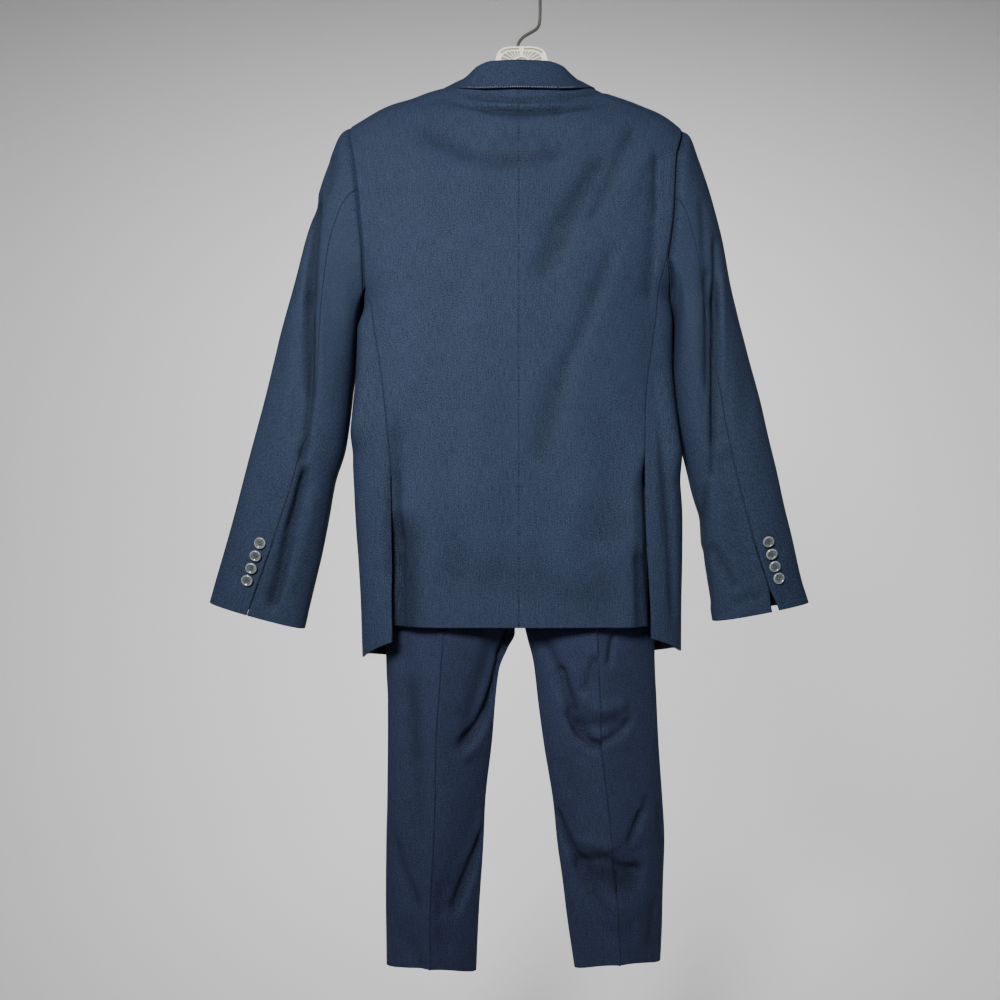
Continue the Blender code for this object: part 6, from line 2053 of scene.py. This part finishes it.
class SUIT_OT_lapels(bpy.types.Operator):
    """Builds the lapels, the pocket flaps and the breast welt"""
    bl_idname = "suit.lapels"
    bl_label = "Lapels and pockets"

    def execute(self, context):
        sizes = context.scene.suit_sizes
        for side in SIDES:
            jacket_piece("lapel_" + side, lapel_panel(side, sizes))
            jacket_piece("pocket_flap_" + side, flap_panel(side, sizes), True)
        jacket_piece("breast_welt", welt_panel(sizes))
        return {"FINISHED"}


class SUIT_OT_trousers(bpy.types.Operator):
    """Builds the trousers: two legs with pressed creases, and the waistband"""
    bl_idname = "suit.trousers"
    bl_label = "Trousers"

    def execute(self, context):
        sizes = context.scene.suit_sizes
        for side in SIDES:
            for half, face in (("back", -1), ("front", 1)):
                node = f"trouser_{half}_{side}"
                trouser_piece(node, leg_panel(side, face, sizes), face > 0)
            trouser_piece("waistband_" + side, waist_panel(side, sizes), True)
        return {"FINISHED"}


class SUIT_OT_buttons(bpy.types.Operator):
    """Builds every button, turned, drilled and sewn on"""
    bl_idname = "suit.buttons"
    bl_label = "Buttons"

    def execute(self, context):
        for side in SIDES:
            spots = zip(CUFF_BUTTONS[side], BUTTON_LEAN[side])
            for number, (spot, (tilt, turn)) in enumerate(spots, 1):
                point, normal = sleeve_place(side, spot.along, spot.share)
                node = f"cuff_button_{side}_{number}"
                add_button(node, CUFF_BUTTON_DIAMETER, point, normal, tilt, turn)
        for number, z in enumerate(FRONT_BUTTON_ZS, 1):
            point = (0.0, front_y("left", np.array([0.0]), np.array([z]))[0], z)
            turn = FRONT_BUTTON_TURN * number
            add_button(f"front_button_{number}", FRONT_BUTTON_DIAMETER, point, AHEAD, 0.0, turn)
        point = (WAIST_BUTTON_X, LEG["left"][-1].back, (WAIST_TOP_Z + WAISTBAND_Z) / 2)
        add_button(
            "waistband_button", CUFF_BUTTON_DIAMETER, point, AHEAD, 0.0, WAIST_BUTTON_TURN
        )
        return {"FINISHED"}


class SUIT_OT_hanger(bpy.types.Operator):
    """Builds the plastic hanger with its fan crest, the wire hook and the two clips"""
    bl_idname = "suit.hanger"
    bl_label = "Hanger"

    def execute(self, context):
        colours = context.scene.suit_colours
        plastic = [hard_material("cream plastic", colours.plastic, PLASTIC)]
        steel = [hard_material("plated wire", colours.steel, STEEL)]
        add_piece("hanger_frame_moulded", hanger_mesh(), plastic, ["hanger_frame"])
        add_piece("hanger_hook_wire", hook_mesh(), steel, ["hanger_hook"])
        for side in SIDES:
            node = "clip_" + side
            add_piece(node + "_moulded", clip_mesh(side), plastic, [node])
        return {"FINISHED"}


# ---------------------------------------------------------------- stage

FLOOR_Z = -1.75
SWEEP_RADIUS = 3.4
SWEEP_CURVE = 1.3
SWEEP_STEPS = 20
SWEEP_TOP_Z = 4.2
CAMERA_PLACE = (-0.0238, -1.185, -0.685)
SENSOR_WIDTH = 36.0
CLIP_START = 0.05
SWEEP_SIDES = 96
FLOOR_ROUGHNESS = 0.9
SKY_COLOUR = (0.93, 0.96, 1.0)
# Soft round lights: power names the property that holds it, and spread is in degrees
Light = namedtuple("Light", "power place target size spread")
LIGHTS = rows_of(
    Light, ("key", (-0.48, -1.6, 0.14), (0.0, 0.0, -0.6), 0.5, 80),
    ("fill", (0.8, -2.5, -0.5), (0.0, 0.0, -0.6), 1.6, 60),
    ("backdrop", (0.0, 0.9, 0.9), (0.0, 3.0, -0.9), 1.0, 150),
)


def look_at(thing, place, target):
    """Puts a light or the camera at a place, turned towards the target."""
    way = Vector(target) - Vector(place)
    thing.location = place
    thing.rotation_euler = way.to_track_quat("-Z", "Y").to_euler()


def add_light(light, watts):
    lamp = bpy.data.lights.new(light.power + " light", "AREA")
    lamp.spread = math.radians(light.spread)
    lamp.shape = "DISK"
    lamp.size = light.size
    lamp.energy = watts
    made = bpy.data.objects.new(lamp.name, lamp)
    bpy.context.scene.collection.objects.link(made)
    look_at(made, light.place, light.target)
    made.visible_camera = False


def studio_sweep():
    """A floor that rises far behind and round the suit in one smooth curve."""
    profile = [(0.0, FLOOR_Z)]
    for angle in np.linspace(0, math.pi / 2, SWEEP_STEPS):
        profile.append((
            SWEEP_RADIUS - SWEEP_CURVE * (1 - math.sin(angle)),
            FLOOR_Z + SWEEP_CURVE * (1 - math.cos(angle)),
        ))
    profile.append((SWEEP_RADIUS, SWEEP_TOP_Z))
    mesh = turned_mesh("studio floor", profile, SWEEP_SIDES)
    mesh.shade_smooth()
    return mesh


class SUIT_OT_stage(bpy.types.Operator):
    """Builds the pale floor, the soft lights and the camera"""
    bl_idname = "suit.stage"
    bl_label = "Stage"

    def execute(self, context):
        stage = context.scene.suit_stage
        paint = bpy.data.materials.new("pale backdrop")
        paint.use_nodes = True
        shader = paint.node_tree.nodes["Principled BSDF"]
        shader.inputs["Base Color"].default_value = (*stage.pale, 1.0)
        shader.inputs["Roughness"].default_value = FLOOR_ROUGHNESS
        floor_mesh = studio_sweep()
        floor_mesh.materials.append(paint)
        floor = bpy.data.objects.new("studio_floor", floor_mesh)
        context.scene.collection.objects.link(floor)
        world = bpy.data.worlds.new("studio sky")
        world.use_nodes = True
        sky = world.node_tree.nodes["Background"]
        sky.inputs["Color"].default_value = (*SKY_COLOUR, 1.0)
        sky.inputs["Strength"].default_value = stage.sky
        context.scene.world = world
        for light in LIGHTS:
            add_light(light, getattr(stage, light.power))
        lens = bpy.data.cameras.new("camera")
        lens.lens = stage.lens
        lens.sensor_width = SENSOR_WIDTH
        lens.clip_start = CLIP_START
        camera = bpy.data.objects.new("camera", lens)
        context.scene.collection.objects.link(camera)
        look_at(camera, CAMERA_PLACE, (CAMERA_PLACE[0], 0.0, CAMERA_PLACE[2]))
        context.scene.camera = camera
        return {"FINISHED"}


class SUIT_PT_panel(bpy.types.Panel):
    """Lists the operators, the sizes and the colours"""
    bl_idname = "SUIT_PT_panel"
    bl_label = "Suit"
    bl_space_type = "VIEW_3D"
    bl_region_type = "UI"
    bl_category = "Suit"

    def draw(self, context):
        column = self.layout.column()
        for maker in MAKERS:
            column.operator(maker.bl_idname)
        for group in (
            context.scene.suit_sizes, context.scene.suit_colours, context.scene.suit_stage
        ):
            for key in group.__annotations__:
                column.prop(group, key)


MAKERS = (
    SUIT_OT_back, SUIT_OT_fronts, SUIT_OT_sleeves, SUIT_OT_collar, SUIT_OT_lapels, SUIT_OT_trousers,
    SUIT_OT_buttons, SUIT_OT_hanger, SUIT_OT_stage,
)
GROUPS = (("suit_sizes", SuitSizes), ("suit_colours", SuitColours), ("suit_stage", SuitStage))
CLASSES = tuple(kind for _, kind in GROUPS) + MAKERS + (SUIT_PT_panel,)


def register():
    for kind in CLASSES:
        bpy.utils.register_class(kind)
    for key, kind in GROUPS:
        setattr(bpy.types.Scene, key, PointerProperty(type=kind))


def unregister():
    for key, _ in GROUPS:
        delattr(bpy.types.Scene, key)
    for kind in reversed(CLASSES):
        bpy.utils.unregister_class(kind)


def main():
    register()
    bpy.ops.suit.back()
    bpy.ops.suit.fronts()
    bpy.ops.suit.sleeves()
    bpy.ops.suit.collar()
    bpy.ops.suit.lapels()
    bpy.ops.suit.trousers()
    bpy.ops.suit.buttons()
    bpy.ops.suit.hanger()
    bpy.ops.suit.stage()


if __name__ == "__main__":
    main()
